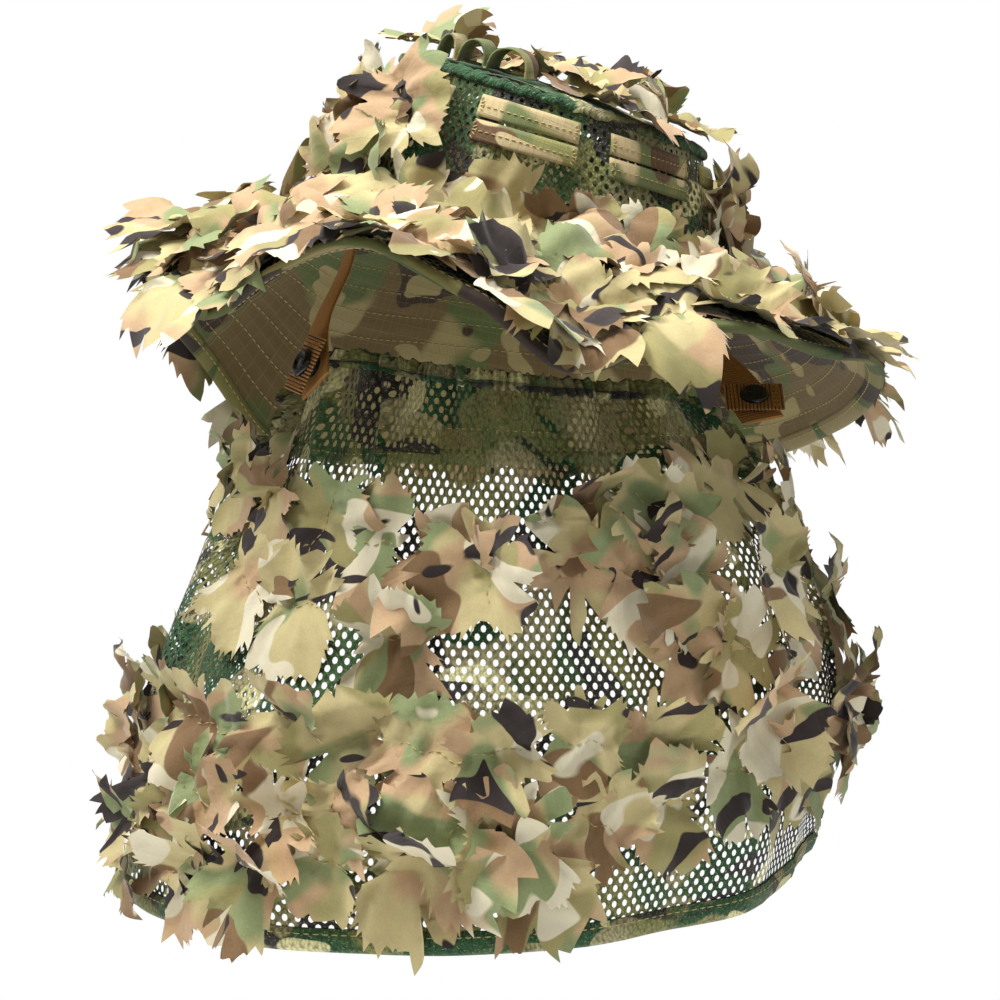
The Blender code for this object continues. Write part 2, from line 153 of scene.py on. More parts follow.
# Depth in the solid print at which each cloth is cut, so that no two show the same patch of it
PRINT_CROWN_SIDE = 0.3
PRINT_CROWN_TOP = 0.9
PRINT_BRIM_TOP = 1.3
PRINT_BRIM_LINING = 2.2
PRINT_FIRST_LOOP = 3
PRINT_LOOP_STEP = 0.37
PRINT_VEIL = 4.0
# Radii that turn an angle into a place along the print of the brim's lining and of a foliage loop
LINING_PRINT_R = 0.135
LOOP_PRINT_R = 0.086

# Threads of the seams: length, gap between two, half thickness, and height of their middle over the cloth
THREAD_LONG = 0.0026
THREAD_GAP = 0.0013
THREAD_R = 0.00028
THREAD_LIFT = 0.0001

# Flat sizes of the cut cloths
CROWN_SIDE_LONG = 0.25
BRIM_FLAT = (0.86, 0.095)
VEIL_FLAT_R = 0.145
VEIL_FLAT_TALL = 0.232

# Leaf cloths: the pitch of a leaf's points, the spacing of leaves along a row and along the brim's
# innermost row, and each group's settings:
# length, width, range of the lift of the flap behind the seam and of the one ahead of it in degrees,
# scatter of its turn, and droop
LEAF_PITCH = 0.0033
LEAF_SPACING = 0.029
INNER_LEAF_SPACING = 0.027


def leaf_settings(long, wide, behind, ahead, scatter, droop):
    return {"long": long, "wide": wide, "lifts": (behind, ahead), "scatter": scatter, "droop": droop}


BRIM_EDGE_LEAF = leaf_settings(0.074, 0.062, (20, 70), (0, 25), 0.45, 5)
BRIM_MIDDLE_LEAF = leaf_settings(0.074, 0.062, (30, 80), (0, 30), 0.45, 3)
BRIM_INNER_LEAF = leaf_settings(0.074, 0.062, (35, 85), (5, 45), 0.45, 2)
CROWN_LEAF = leaf_settings(0.060, 0.060, (10, 65), (15, 60), 0.5, 2)
TOP_LEAF = leaf_settings(0.050, 0.050, (35, 85), (0, 40), 0.6, 2)
VEIL_LEAF = leaf_settings(0.065, 0.054, (10, 68), (0, 30), 0.6, 3)

# Length of the brim at the crown, and how much longer its outer edge is
BRIM_INNER_ROUND = 0.56
BRIM_ADDED_ROUND = 0.55
# Leaf cloths low round the crown: their height at the front, between two angles in degrees, and elsewhere
CROWN_FRONT = (-112, -10)
FRONT_LEAF_HEIGHT = 0.014
LOW_LEAF_HEIGHT = 0.030
# Leaf cloths that stand higher on the crown's sides and back, over the ends of the foliage loops
HIGH_LEAVES = [-114, -128, -141, -155, -172, 170, 150, 130, 110, 90, 70, 50, 30, 12, -2]
HIGH_LEAF_HEIGHT = 0.052
# Leaf cloths on the crown's top, as (angle in degrees, share of the way to its rim)
TOP_LEAVES = [(-50, 0.75), (-30, 0.9), (-5, 0.8), (20, 0.9), (60, 0.8), (100, 0.85), (140, 0.75)]
TOP_LEAVES += [(165, 0.6), (-150, 0.7), (-165, 0.85), (-125, 0.45), (170, 0.2), (40, 0.4), (-60, 0.4)]
# The veil's radius halfway down, and the height under which its leaf cloths are of the lower group
VEIL_MEAN_R = 0.138
LOWER_LEAVES_BELOW = -0.19
# Rows of leaf cloth on the veil, as (angle in degrees, height) routes from the wearer's right to the left
VEIL_LEAF_ROUTES = [
    [(-112, -0.110), (-75, -0.088), (-48, -0.093), (-28, -0.106), (0, -0.130), (14, -0.136), (26, -0.130)],
    [(26, -0.120), (42, -0.104), (62, -0.098), (88, -0.106), (112, -0.135)],
    [(48, -0.138), (66, -0.134), (90, -0.142), (112, -0.165)],
    [(40, -0.162), (62, -0.166), (84, -0.174), (112, -0.195)],
    [(-38, -0.135), (-16, -0.150), (4, -0.165)],
    [(24, -0.140), (36, -0.132), (50, -0.126)],
    [(-112, -0.170), (-92, -0.176), (-50, -0.194), (-20, -0.200), (20, -0.212), (38, -0.198), (64, -0.192)],
    [(-96, -0.208), (-60, -0.222), (-20, -0.230), (10, -0.240), (34, -0.232), (58, -0.216), (110, -0.215)],
    [(-60, -0.246), (-30, -0.250), (0, -0.252), (26, -0.248)],
]

# Snaps: middle on the hat tab's outer face, direction faced, run of the veil's tab,
# run of the hat's tab and the angle on the crown that it hangs from
SNAPS = {
    "right": {
        "middle": (-0.0556, -0.1155, -0.0500),
        "facing": (-0.631, -0.678, 0.377),
        "veil_run": (0.400, 0.130, 0.906),
        "hat_run": (-0.265, 0.645, 0.717),
        "root_angle": -145,
    },
    "left": {
        "middle": (0.1113, -0.0104, -0.0650),
        "facing": (0.185, -0.571, 0.800),
        "veil_run": (0.951, 0.309, 0.0),
        "hat_run": (-0.530, 0.600, 0.600),
        "root_angle": 10,
    },
}
TAB_WIDE = 0.020
TAB_LONG = 0.026
TAB_THICK = 0.0013
TAB_TAIL = 0.011
# The veil tab's rows of stitches: how far each is from the nearer end, and half its length
TAB_SEAMS = (0.0028, 0.0044)
TAB_SEAM_HALF = 0.0088
RIB_PITCH = 0.0016
# Points along the hat tab's straight end and its curve, and along the veil's tab: a few for each rib
TAB_STEPS = 90
TAB_CURVE_STEPS = 420
VEIL_TAB_STEPS = 110
SNAP_SPACE = 0.0040
CAP_R = 0.0065

# Snap sections as (radius, height). Heights start at the hat tab's outer face for the stud and at its inner
# face for the post, and at the veil tab's inner face for the socket and spring and its outer face for the cap
STUD = [(0, 0.0030), (0.0012, 0.00296), (0.0018, 0.0027), (0.0021, 0.0023), (0.0020, 0.0019)]
STUD += [(0.00168, 0.0015), (0.00178, 0.0010), (0.0044, 0.0009), (0.0049, 0.0006), (0.0050, 0.0003)]
STUD += [(0, 0.0003)]
POST = [(0, -0.0003), (0.0050, -0.0003), (0.0050, -0.0008), (0.0046, -0.0012), (0.0030, -0.0014)]
POST += [(0, -0.0014)]
SOCKET = [(0.0028, -0.0009), (0.0028, -0.0024), (0.0031, -0.0026), (0.0055, -0.0026)]
SOCKET += [(0.0060, -0.0022), (0.0060, -0.0003), (0.0018, -0.0003), (0.0018, -0.0009)]
SPRING_MIDDLE = (0.00248, -0.0018)
SPRING_HALF = (0.00013, 0.0003)
CAP = [(0, 0.0019), (0.0012, 0.00195), (0.0024, 0.0018), (0.0031, 0.0016), (0.0035, 0.0019)]
CAP += [(0.0041, 0.0024), (0.0048, 0.0026), (0.0056, 0.0023), (0.0062, 0.0017), (CAP_R, 0.0010)]
CAP += [(CAP_R, 0.0004), (0.0012, 0.0004), (0.0012, -0.0016), (0, -0.0016)]

# Camera, floor and light
CAMERA_AZIMUTH = math.radians(18)
CAMERA_DISTANCE = 1.35
CAMERA_HEIGHT = -0.106
CAMERA_SIDE = -0.0101
LENS = 105.7
FLOOR_Z = -0.60
FLOOR_SIZE = 2.0
AMBIENT_LIGHT = 0.31
LIGHT_TARGET = (0, 0, -0.08)
# Lamps: place, side and power
LAMPS = {
    "key": ((-0.80, -0.85, 1.60), 0.8, 40),
    "fill": ((1.4, -1.2, 0.5), 1.2, 2),
    "top": ((0.15, -0.30, 1.8), 1.0, 28),
}


# ---------------------------------------------------------------- numbers and surfaces


def smooth_curve(points, at, period=None):
    """Values of a smooth curve through (abscissa, value) points in rising order."""
    xs = np.array([p[0] for p in points], float)
    ys = np.array([p[1] for p in points], float)
    if period:
        xs = np.concatenate([xs - period, xs, xs + period])
        ys = np.tile(ys, 3)
    at = np.clip(at, xs[0], xs[-1])
    k = np.clip(np.searchsorted(xs, at, side="left") - 1, 0, len(xs) - 2)
    before = np.maximum(k - 1, 0)
    after = np.minimum(k + 2, len(xs) - 1)
    slope0 = (ys[k + 1] - ys[before]) / (xs[k + 1] - xs[before])
    slope1 = (ys[after] - ys[k]) / (xs[after] - xs[k])
    span = xs[k + 1] - xs[k]
    t = (at - xs[k]) / span
    value = (2 * t**3 - 3 * t**2 + 1) * ys[k] + (3 * t**2 - 2 * t**3) * ys[k + 1]
    return value + span * ((t**3 - 2 * t**2 + t) * slope0 + (t**3 - t**2) * slope1)


def unit(vectors):
    return vectors / np.maximum(np.linalg.norm(vectors, axis=-1, keepdims=True), 1e-12)


def distances(points, axis=0):
    """How far along an array of points each one is, from 0."""
    steps = np.linalg.norm(np.diff(points, axis=axis), axis=-1)
    return np.concatenate([np.zeros_like(np.take(steps, [0], axis)), np.cumsum(steps, axis)], axis)


def round_angles(count):
    """Angles of so many even steps round the hat, from the wearer's right."""
    return np.linspace(-math.pi, math.pi, count + 1)[:-1]


def ring_turns(count):
    return np.linspace(0, TURN, count + 1)[:-1]


def rounded(turns, power_x, power_z):
    """A rounded box's outline: points of a circle pushed out towards the corners."""
    x = np.sign(np.cos(turns)) * np.abs(np.cos(turns)) ** power_x
    return x, np.sign(np.sin(turns)) * np.abs(np.sin(turns)) ** power_z


def rolled(x, y, z):
    """Points of the upright hat, moved as the crown slouches to the wearer's left and the hat rolls."""
    z = z - CROWN_SLOUCH * x * np.clip(z / CROWN_HEIGHT, 0, 1)
    c, s = math.cos(HAT_ROLL), math.sin(HAT_ROLL)
    return np.stack([x * c + z * s, y + 0 * x, z * c - x * s], -1)


def crown_point(angle, height, out=0.0):
    t = height / CROWN_HEIGHT
    swell = CROWN_SWELL * np.sin(math.pi * np.clip(t, 0, 1))
    half_x = HEAD_X + (CROWN_TOP_X - HEAD_X) * t + swell + out
    half_y = HEAD_Y + (CROWN_TOP_Y - HEAD_Y) * t + swell + out
    return rolled(half_x * np.cos(angle), half_y * np.sin(angle), height + 0 * angle)


def dome_point(angle, share, lift=0.0):
    height = CROWN_HEIGHT + DOME_BASE + CROWN_DOME * (1 - share**2) + lift
    return rolled(CROWN_TOP_X * share * np.cos(angle), CROWN_TOP_Y * share * np.sin(angle), height)


def wrap(angle):
    return (angle + math.pi) % TURN - math.pi


def brim_middle(angle, share):
    angle = wrap(angle)
    degrees = np.degrees(angle)
    inner = crown_point(angle, 0.0 * angle, -0.0005)
    outward = unit(inner * np.array([1.0, 1.0, 0.0]))
    reach = smooth_curve([(a, r) for a, r, _ in BRIM_EDGE], degrees, 360)
    drop = smooth_curve([(a, z) for a, _, z in BRIM_EDGE], degrees, 360)
    along = np.minimum(share, 1.0)
    beyond = 1.5 * np.maximum(share - 1.0, 0.0)
    height = inner[..., 2] + (drop - inner[..., 2]) * (along**1.5 + beyond)
    flat = inner + outward * (reach * share)[..., None]
    return np.stack([flat[..., 0], flat[..., 1], height], -1)


def brim_wave(angle, share):
    """Soft waves of the brim, growing towards its edge."""
    wave = np.sin(7 * angle + 0.8) * 0.5 + np.sin(11 * angle + 2.1) * 0.35 + np.sin(17 * angle + 4.0) * 0.2
    return BRIM_WAVE * wave * np.clip(share, 0, 1.2) ** 2


def brim_normal(angle, share):
    step = 0.02
    across = brim_middle(angle, share + step) - brim_middle(angle, np.maximum(share - step, 0.0))
    around = brim_middle(angle + step, share) - brim_middle(angle - step, share)
    return unit(np.cross(across, around))


def brim_point(angle, share, out=0.0):
    lift = np.asarray(out + brim_wave(angle, share))
    return brim_middle(angle, share) + brim_normal(angle, share) * lift[..., None]


def veil_top(angle):
    return smooth_curve(VEIL_TOP_EDGE, np.degrees(angle))


def veil_hem(angle):
    return VEIL_HEM_Z - VEIL_HEM_DIP * np.cos(angle)


def veil_folds(angle, level):
    """Gathers under the elastic edge, and broad soft folds further down."""
    below = np.maximum(veil_top(angle) - level, 0.0)
    drift = 0.6 * np.sin(7 * angle + 1.0) + 0.5 * np.sin(19 * angle + 40 * level)
    gathers = GATHER_DEPTH * np.sin(44 * angle + 3 * drift) * np.exp(-below / 0.032)
    ridges = 1 - 2 * np.abs(np.sin(11.5 * angle + 1.5 * drift + 6 * level)) ** 0.8
    gathers = gathers + RIDGE_DEPTH * ridges * np.exp(-below / 0.075) * np.minimum(below / 0.012 + 0.35, 1.0)
    depth = np.clip(below / 0.20, 0, 1)
    folds = np.sin(8.3 * angle + 9 * level + 0.6) + 0.6 * np.sin(13.7 * angle - 14 * level + 2.0)
    folds = folds + 0.5 * np.sin(5.1 * angle + 38 * level)
    return gathers + FOLD_DEPTH * folds * np.sin(math.pi * np.clip(depth, 0.05, 0.85))


def veil_plain(angle, level, out=0.0):
    highest = max(height for _, height in VEIL_TOP_EDGE)
    depth = np.clip((highest - level) / (highest - VEIL_HEM_Z + VEIL_HEM_DIP), 0.0, 1.0)
    hem = VEIL_HEM_R - VEIL_HEM_SHIFT * np.cos(angle - VEIL_LOW_SIDE)
    bulge = VEIL_BULGE * (1 + np.cos(angle - VEIL_LOW_SIDE)) * np.sin(math.pi * depth)
    radius = VEIL_TOP_R + (hem - VEIL_TOP_R) * np.sin(math.pi / 2 * depth) ** 1.2 + bulge + out
    return np.stack([radius * np.sin(angle), VEIL_AXIS_Y - radius * np.cos(angle), level + 0 * angle], -1)


def veil_point(angle, level, out=0.0):
    return veil_plain(angle, level, out + veil_folds(angle, level))


# ---------------------------------------------------------------- meshes


def mesh_object(name, points, faces, material, cloth=None):
    """A smooth mesh. cloth is each point's place in metres on the flat cloth, for its print."""
    mesh = bpy.data.meshes.new(name)
    faces = faces if isinstance(faces, list) else faces.tolist()
    mesh.from_pydata(np.asarray(points, float).reshape(-1, 3).tolist(), [], faces)
    if cloth is not None:
        layer = mesh.attributes.new("cloth", "FLOAT_VECTOR", "POINT")
        layer.data.foreach_set("vector", np.asarray(cloth, np.float32).ravel())
    mesh.shade_smooth()
    mesh.materials.append(material)
    made = bpy.data.objects.new(name, mesh)
    bpy.context.scene.collection.objects.link(made)
    return made


def grid_faces(rows, columns, closed=False):
    """Quads over a grid of points stored row by row."""
    span = columns if closed else columns - 1
    i, j = np.meshgrid(np.arange(rows - 1), np.arange(span), indexing="ij")
    k = (j + 1) % columns
    quads = np.stack([i * columns + j, i * columns + k, (i + 1) * columns + k, (i + 1) * columns + j], -1)
    return quads.reshape(-1, 4)


def grid_sheet(name, points, material, cloth=None, closed=False, thickness=0.0):
    """A sheet through an array of points, rows by columns. thickness adds a Solidify modifier."""
    rows, columns = points.shape[:2]
    if cloth is None:
        cloth = np.stack([distances(points, 1), distances(points, 0), np.zeros((rows, columns))], -1)
    made = mesh_object(name, points, grid_faces(rows, columns, closed), material, cloth)
    if thickness:
        layer = made.modifiers.new("thickness", "SOLIDIFY")
        layer.thickness = thickness
        layer.offset = 0.0
    return made


def tube_faces(count, size, base=0, closed=False):
    """Faces of a solid through rings of points, with filled ends unless it is closed."""
    faces = []
    for i in range(count if closed else count - 1):
        a, b = base + i * size, base + ((i + 1) % count) * size
        faces += [(a + k, a + (k + 1) % size, b + (k + 1) % size, b + k) for k in range(size)]
    if not closed:
        faces.append(tuple(base + k for k in range(size - 1, -1, -1)))
        faces.append(tuple(base + (count - 1) * size + k for k in range(size)))
    return faces


def tube(name, sections, material, closed=False):
    """A solid through rings of points, with filled ends unless it is closed."""
    along = distances(sections.mean(1))
    cloth = np.stack(np.broadcast_arrays(along[:, None], distances(sections[0])[None, :], 0.5), -1)
    return mesh_object(name, sections, tube_faces(*sections.shape[:2], closed=closed), material, cloth)


def holed_cloth(name, surface, size, material, closed=False, print_start=(0.0, 0.0)):
    """A knitted mesh of a flat size: a honeycomb of cells, each with a tall oval hole.

    surface(u, v) maps 0..1 to points. print_start is where the cloth's print starts, along and in depth.
    """
    columns = 2 * round(size[0] / HOLE_PITCH / 2) if closed else round(size[0] / HOLE_PITCH)
    rows = round(size[1] / HOLE_ROW)
    last = 2 * columns
    table, grid_uv, faces = {}, [], []

    def corner(u, v):
        wrapped = u % last if closed else u
        if (wrapped, v) not in table:
            table[wrapped, v] = len(grid_uv)
            rise = 0.0
            if v % 2 == 0 and 0 < v < 2 * rows:
                rise = CELL_WAVER if (u + v // 2) % 2 == 0 else -CELL_WAVER
            grid_uv.append((wrapped, v + rise))
        return table[wrapped, v]

    turns = [math.radians(225 + 45 * k) for k in range(8)]
    hole = [(HOLE_HALF[0] * math.cos(t), HOLE_HALF[1] * math.sin(t)) for t in turns]
    for row in range(rows):
        shift = row % 2
        low, high = 2 * row, 2 * row + 2
        squeeze = 0.7 if row in (0, rows - 1) else 1.0
        for cell in range(columns if closed else columns - shift):
            left = 2 * cell + shift
            ring = [corner(left + across, low + up) for across, up in CELL_RING]
            start = len(grid_uv)
            grid_uv.extend((left + 1 + a, low + 1 + squeeze * b) for a, b in hole)
            for k in range(8):
                n = (k + 1) % 8
                faces.append((ring[k], ring[n], start + n, start + k))
        if shift and not closed:
            edge = ((0, low), (1, low), (1, low + 1), (1, high), (0, high))
            faces.append(tuple(corner(u, v) for u, v in edge))
            edge = ((last - 1, low), (last, low), (last, high), (last - 1, high), (last - 1, low + 1))
            faces.append(tuple(corner(u, v) for u, v in edge))
    uv = np.array(grid_uv, float)
    u = uv[:, 0] / last
    v = uv[:, 1] / (2 * rows)
    cloth = np.stack([u * size[0] + print_start[0], v * size[1], np.full(len(u), print_start[1])], -1)
    return mesh_object(name, surface(u, v), faces, material, cloth)


def read_along(at, reach, values):
    return np.array([np.interp(at, reach, values[:, k]) for k in range(3)])


def stitches(
    name, paths, normals, material, length=THREAD_LONG, gap=THREAD_GAP, radius=THREAD_R, lift=THREAD_LIFT
):
    """Short round-ended threads along paths, as one object for one row or several."""
    points, faces = [], []
    profile = [(-1.0, 0.15), (-0.75, 0.8), (0.0, 1.0), (0.75, 0.8), (1.0, 0.15)]
    sides = 5
    for line, upward in zip(paths, normals):
        reach = distances(line)
        count = int(reach[-1] / (length + gap))
        for n in range(count):
            middle = (n + 0.5) * reach[-1] / count
            ahead = read_along(min(middle + length / 2, reach[-1]), reach, line)
            behind = read_along(max(middle - length / 2, 0), reach, line)
            up = unit(read_along(middle, reach, upward))
            along = unit(ahead - behind)
            side = np.cross(up, along)
            faces += tube_faces(len(profile), sides, len(points))
            for t, r in profile:
                centre = read_along(middle, reach, line) + up * lift + along * (t * length / 2)
                for k in range(sides):
                    a = TURN * k / sides
                    points.append(centre + (side * math.cos(a) + up * math.sin(a)) * (radius * r))
    return mesh_object(name, points, faces, material)


# ---------------------------------------------------------------- materials


def linear(rgb):
    """An sRGB colour of 0..255 values as linear light with alpha."""
    parts = []
    for value in rgb:
        share = value / 255
        parts.append(share / 12.92 if share <= 0.04045 else ((share + 0.055) / 1.055) ** 2.4)
    return (*parts, 1.0)


class Shader:
    """A material's node tree, with short names for the nodes used here."""

    def __init__(self, name, roughness=0.85, sheen=0.0, metallic=0.0, specular=0.3):
        self.material = bpy.data.materials.new(name)
        self.material.use_nodes = True
        self.tree = self.material.node_tree
        self.principled = self.tree.nodes["Principled BSDF"]
        self.feed(self.principled, "Roughness", roughness)
        self.feed(self.principled, "Metallic", metallic)
        self.feed(self.principled, "Specular IOR Level", specular)
        self.feed(self.principled, "Sheen Weight", sheen)
        self.feed(self.principled, "Sheen Roughness", 0.5)

    def feed(self, node, key, value):
        """Sets a node's input to a constant, or links another node's output to it. None leaves it."""
        if isinstance(value, (int, float, tuple)):
            node.inputs[key].default_value = value
        elif value is not None:
            self.tree.links.new(value, node.inputs[key])

    def add(self, kind, output, inputs, **settings):
        """Adds a node, feeds its inputs, and gives one of its outputs, or all of them for None."""
        node = self.tree.nodes.new(kind)
        for key, value in settings.items():
            setattr(node, key, value)
        for key, value in inputs.items():
            self.feed(node, key, value)
        return node.outputs if output is None else node.outputs[output]

    def cloth_place(self):
        return self.add("ShaderNodeAttribute", "Vector", {}, attribute_name="cloth")

    def object_place(self):
        return self.add("ShaderNodeTexCoord", "Object", {})

    def moved(self, place, scale=(1, 1, 1), shift=(0, 0, 0), turn=0.0):
        inputs = {"Vector": place, "Scale": scale, "Location": shift, "Rotation": (0, 0, turn)}
        return self.add("ShaderNodeMapping", "Vector", inputs)

    def noise(self, place, scale, detail=2.0, distortion=0.0):
        inputs = {"Vector": place, "Scale": scale, "Detail": detail, "Distortion": distortion}
        return self.add("ShaderNodeTexNoise", "Fac", inputs)

    def cells(self, place, scale):
        """Distances from the middles of irregular cells."""
        return self.add("ShaderNodeTexVoronoi", "Distance", {"Vector": place, "Scale": scale})

    def step(self, value, threshold, softness):
        """0 below a threshold and 1 above it, with a soft edge."""
        inputs = {"Value": value, "From Min": threshold - softness, "From Max": threshold + softness}
        return self.add("ShaderNodeMapRange", "Result", inputs)

    def math(self, operation, first, second=None):
        return self.add("ShaderNodeMath", 0, {0: first, 1: second}, operation=operation)

    def mix(self, factor, under, over, blend="MIX"):
        inputs = {0: factor, 6: under, 7: over}
        return self.add("ShaderNodeMix", 2, inputs, data_type="RGBA", blend_type=blend)

    def colour(self, socket):
        self.feed(self.principled, "Base Color", socket)

    def bump(self, *layers):
        """Bump from (height socket, strength, distance) layers."""
        normal = None
        for height, strength, distance in layers:
            inputs = {"Strength": strength, "Distance": distance, "Height": height, "Normal": normal}
            normal = self.add("ShaderNodeBump", "Normal", inputs)
        self.feed(self.principled, "Normal", normal)


def camouflage(shader, place, ground, blobs):
    """A printed pattern: a ground of soft colour fields, and crisp blobs over it.

    ground is (first colour, [(colour, scale, threshold)]), and each blob is
    (colour, scale, stretch, turn, threshold).
    """
    colour = linear(ground[0])
    for number, (tint, scale, threshold) in enumerate(ground[1]):
        moved = shader.moved(place, shift=(3.1 * number + 1, 1.7 * number, 0.4))
        field = shader.noise(moved, scale, 1.0, 0.3)
        colour = shader.mix(shader.step(field, threshold, 0.018), colour, linear(tint))
    for number, (tint, scale, stretch, turn, threshold) in enumerate(blobs):
        moved = shader.moved(place, (1, stretch, 1), (0.9 * number + 5, 2.3 * number + 2, 0.7), turn)
        blob = shader.noise(moved, scale, 0.6, 0.5)
        colour = shader.mix(shader.step(blob, threshold, 0.006), colour, linear(tint))
    return colour


def leaf_material():
    shader = Shader("leaf_cloth", roughness=0.8, sheen=0.25, specular=0.25)
    place = shader.cloth_place()
    khaki, tan, sage, cream = (202, 187, 138), (196, 164, 128), (144, 156, 110), (230, 221, 192)
    olive, dark, brown = (164, 155, 104), (54, 45, 44), (134, 106, 74)
    ground = (khaki, [(tan, 17, 0.515), (sage, 20, 0.59), (olive, 19, 0.60)])
    blobs = [
        (brown, 19, 1.5, -0.6, 0.625),
        (cream, 24, 1.7, 0.3, 0.625),
        (dark, 27, 2.2, 0.1, 0.645),
    ]
    colour = camouflage(shader, place, ground, blobs)
    mottle = shader.noise(place, 160, 3.0)
    mottled = shader.mix(mottle, (0.2, 0.17, 0.12, 1), (1, 1, 0.95, 1))
    colour = shader.mix(0.16, colour, mottled, "OVERLAY")
    speckle = shader.step(shader.noise(place, 1300, 3.0), 0.5, 0.16)
    speckled = shader.mix(speckle, (0.30, 0.26, 0.2, 1), (0.72, 0.70, 0.62, 1))
    colour = shader.mix(0.22, colour, speckled, "SOFT_LIGHT")
    shader.colour(colour)
    fibres = shader.noise(shader.moved(place, (1, 0.35, 1)), 2600, 2.0)
    creases = shader.noise(shader.moved(place, (1, 0.4, 1)), 170, 2.0, 0.6)
    shader.bump((fibres, 0.3, 0.0002), (creases, 0.45, 0.0012))
    return shader.material


def knit_material(name, dark_share):
    shader = Shader(name, roughness=0.75, sheen=0.15, specular=0.35)
    place = shader.cloth_place()
    green, olive, khaki = (74, 108, 62), (142, 142, 82), (176, 168, 122)
    black, cream, deep = (58, 55, 50), (240, 234, 172), (44, 92, 52)
    ground = (olive, [(green, 17, 0.54), (khaki, 20, 0.52)])
    blobs = [
        (deep, 22, 1.5, 0.5, 0.60),
        (black, 20, 1.7, -0.3, 0.60 - dark_share),
        (cream, 30, 1.6, 0.8, 0.655),
    ]
    colour = camouflage(shader, place, ground, blobs)
    loops = shader.cells(shader.moved(place, (1, 0.62, 1)), 820)
    shadow = shader.step(loops, 0.62, 0.30)
    colour = shader.mix(shadow, colour, shader.mix(0.66, colour, (0.010, 0.012, 0.007, 1)))
    glints = shader.step(shader.noise(place, 950, 1.0), 0.66, 0.04)
    colour = shader.mix(shader.math("MULTIPLY", glints, 0.45), colour, linear((196, 200, 140)))
    shader.colour(colour)
    raised = shader.math("MULTIPLY", loops, -1.0)
    shader.bump((raised, 0.9, 0.0007), (shader.noise(place, 2600, 2.0), 0.4, 0.0002))
    return shader.material


def grid_lines(shader, place, pitch, width):
    """1 on a square grid of lines of a pitch and a half width, in metres, and 0 between them."""
    split = shader.add("ShaderNodeSeparateXYZ", None, {0: place})
    lines = []
    for axis in ("X", "Y"):
        phase = shader.math("FRACT", shader.math("DIVIDE", split[axis], pitch))
        centred = shader.math("ABSOLUTE", shader.math("SUBTRACT", phase, 0.5))
        lines.append(shader.math("SUBTRACT", 1.0, shader.step(centred, width / pitch, 0.02)))
    return shader.math("MAXIMUM", *lines)


def ripstop_material(name, pale):
    shader = Shader(name, roughness=0.85, sheen=0.1, specular=0.25)
    place = shader.cloth_place()
    if pale:
        base, tan, green, dark = (150, 148, 92), (205, 185, 140), (120, 130, 84), (110, 84, 60)
    else:
        base, tan, green, dark = (112, 94, 60), (160, 146, 100), (92, 104, 60), (66, 54, 44)
    ground = (base, [(green, 19, 0.52), (tan, 21, 0.57)])
    blobs = [(dark, 24, 1.6, 0.4, 0.60), (tan, 30, 1.8, -0.5, 0.64)]
    colour = camouflage(shader, place, ground, blobs)
    lines = grid_lines(shader, shader.moved(place, turn=math.radians(4)), 0.0036 if pale else 0.0048, 0.0002)
    colour = shader.mix(shader.math("MULTIPLY", lines, 0.16), colour, linear((186, 160, 108)))
    shader.colour(colour)
    weave = shader.noise(place, 2400, 2.0)
    shader.bump((lines, 0.5, 0.0003), (weave, 0.25, 0.0002), (shader.noise(place, 90, 2.0), 0.35, 0.0012))
    return shader.material


def tape_material():
    shader = Shader("binding_tape", roughness=0.85, sheen=0.1, specular=0.25)
    place = shader.cloth_place()
    ground = ((100, 106, 62), [((130, 124, 74), 16, 0.50), ((148, 134, 94), 14, 0.61)])
    blobs = [((70, 58, 52), 22, 0.8, 0.0, 0.60), ((84, 100, 60), 24, 0.8, 0.3, 0.61)]
    shader.colour(camouflage(shader, place, ground, blobs))
    weave = shader.cells(place, 1500)
    shader.bump((weave, 0.5, 0.0003), (shader.noise(place, 150, 2.0), 0.4, 0.0010))
    return shader.material


def webbing_material():
    shader = Shader("coyote_webbing", roughness=0.7, sheen=0.1, specular=0.4)
    place = shader.cloth_place()
    fibres = shader.noise(shader.moved(place, (0.4, 1, 1)), 1500, 3.0)
    split = shader.add("ShaderNodeSeparateXYZ", None, {0: place})
    wobble = shader.math("MULTIPLY", shader.noise(place, 400, 2.0), 0.0006)
    along = shader.math("ADD", split["X"], wobble)
    wave = shader.math("SINE", shader.math("MULTIPLY", along, TURN / RIB_PITCH))
    ribs = shader.math("ADD", shader.math("MULTIPLY", wave, 0.5), 0.5)
    colour = shader.mix(fibres, linear((140, 88, 34)), linear((206, 150, 74)))
    # Painted shade: the colour goes to a deep brown in the grooves between the ribs, where the strip's ribbed
    # shape is thinnest
    colour = shader.mix(shader.step(ribs, 0.36, 0.26), linear((58, 32, 14)), colour)
    shader.colour(colour)
    shader.bump((fibres, 0.5, 0.0003))
    return shader.material


def plain_material(name, rgb, roughness, metallic=0.0, grain=1200, strength=0.1):
    shader = Shader(name, roughness=roughness, metallic=metallic, specular=0.5)
    place = shader.object_place()
    grains = shader.noise(place, grain, 3.0)
    tint = tuple(min(255, value * 1.25 + 4) for value in rgb)
    shader.colour(shader.mix(shader.step(grains, 0.5, 0.2), linear(rgb), linear(tint)))
    shader.bump((grains, strength, 0.0001))
    return shader.material


# ---------------------------------------------------------------- hat


def name_finish(nodes):
    """Hides the CAD nodes that a piece stands for, if there are any."""
    if nodes:
        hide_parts(*nodes)


def place_piece(piece, body, slot, *nodes):
    """Makes a piece ride on a body."""
    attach(piece, body)
    name_finish(nodes)


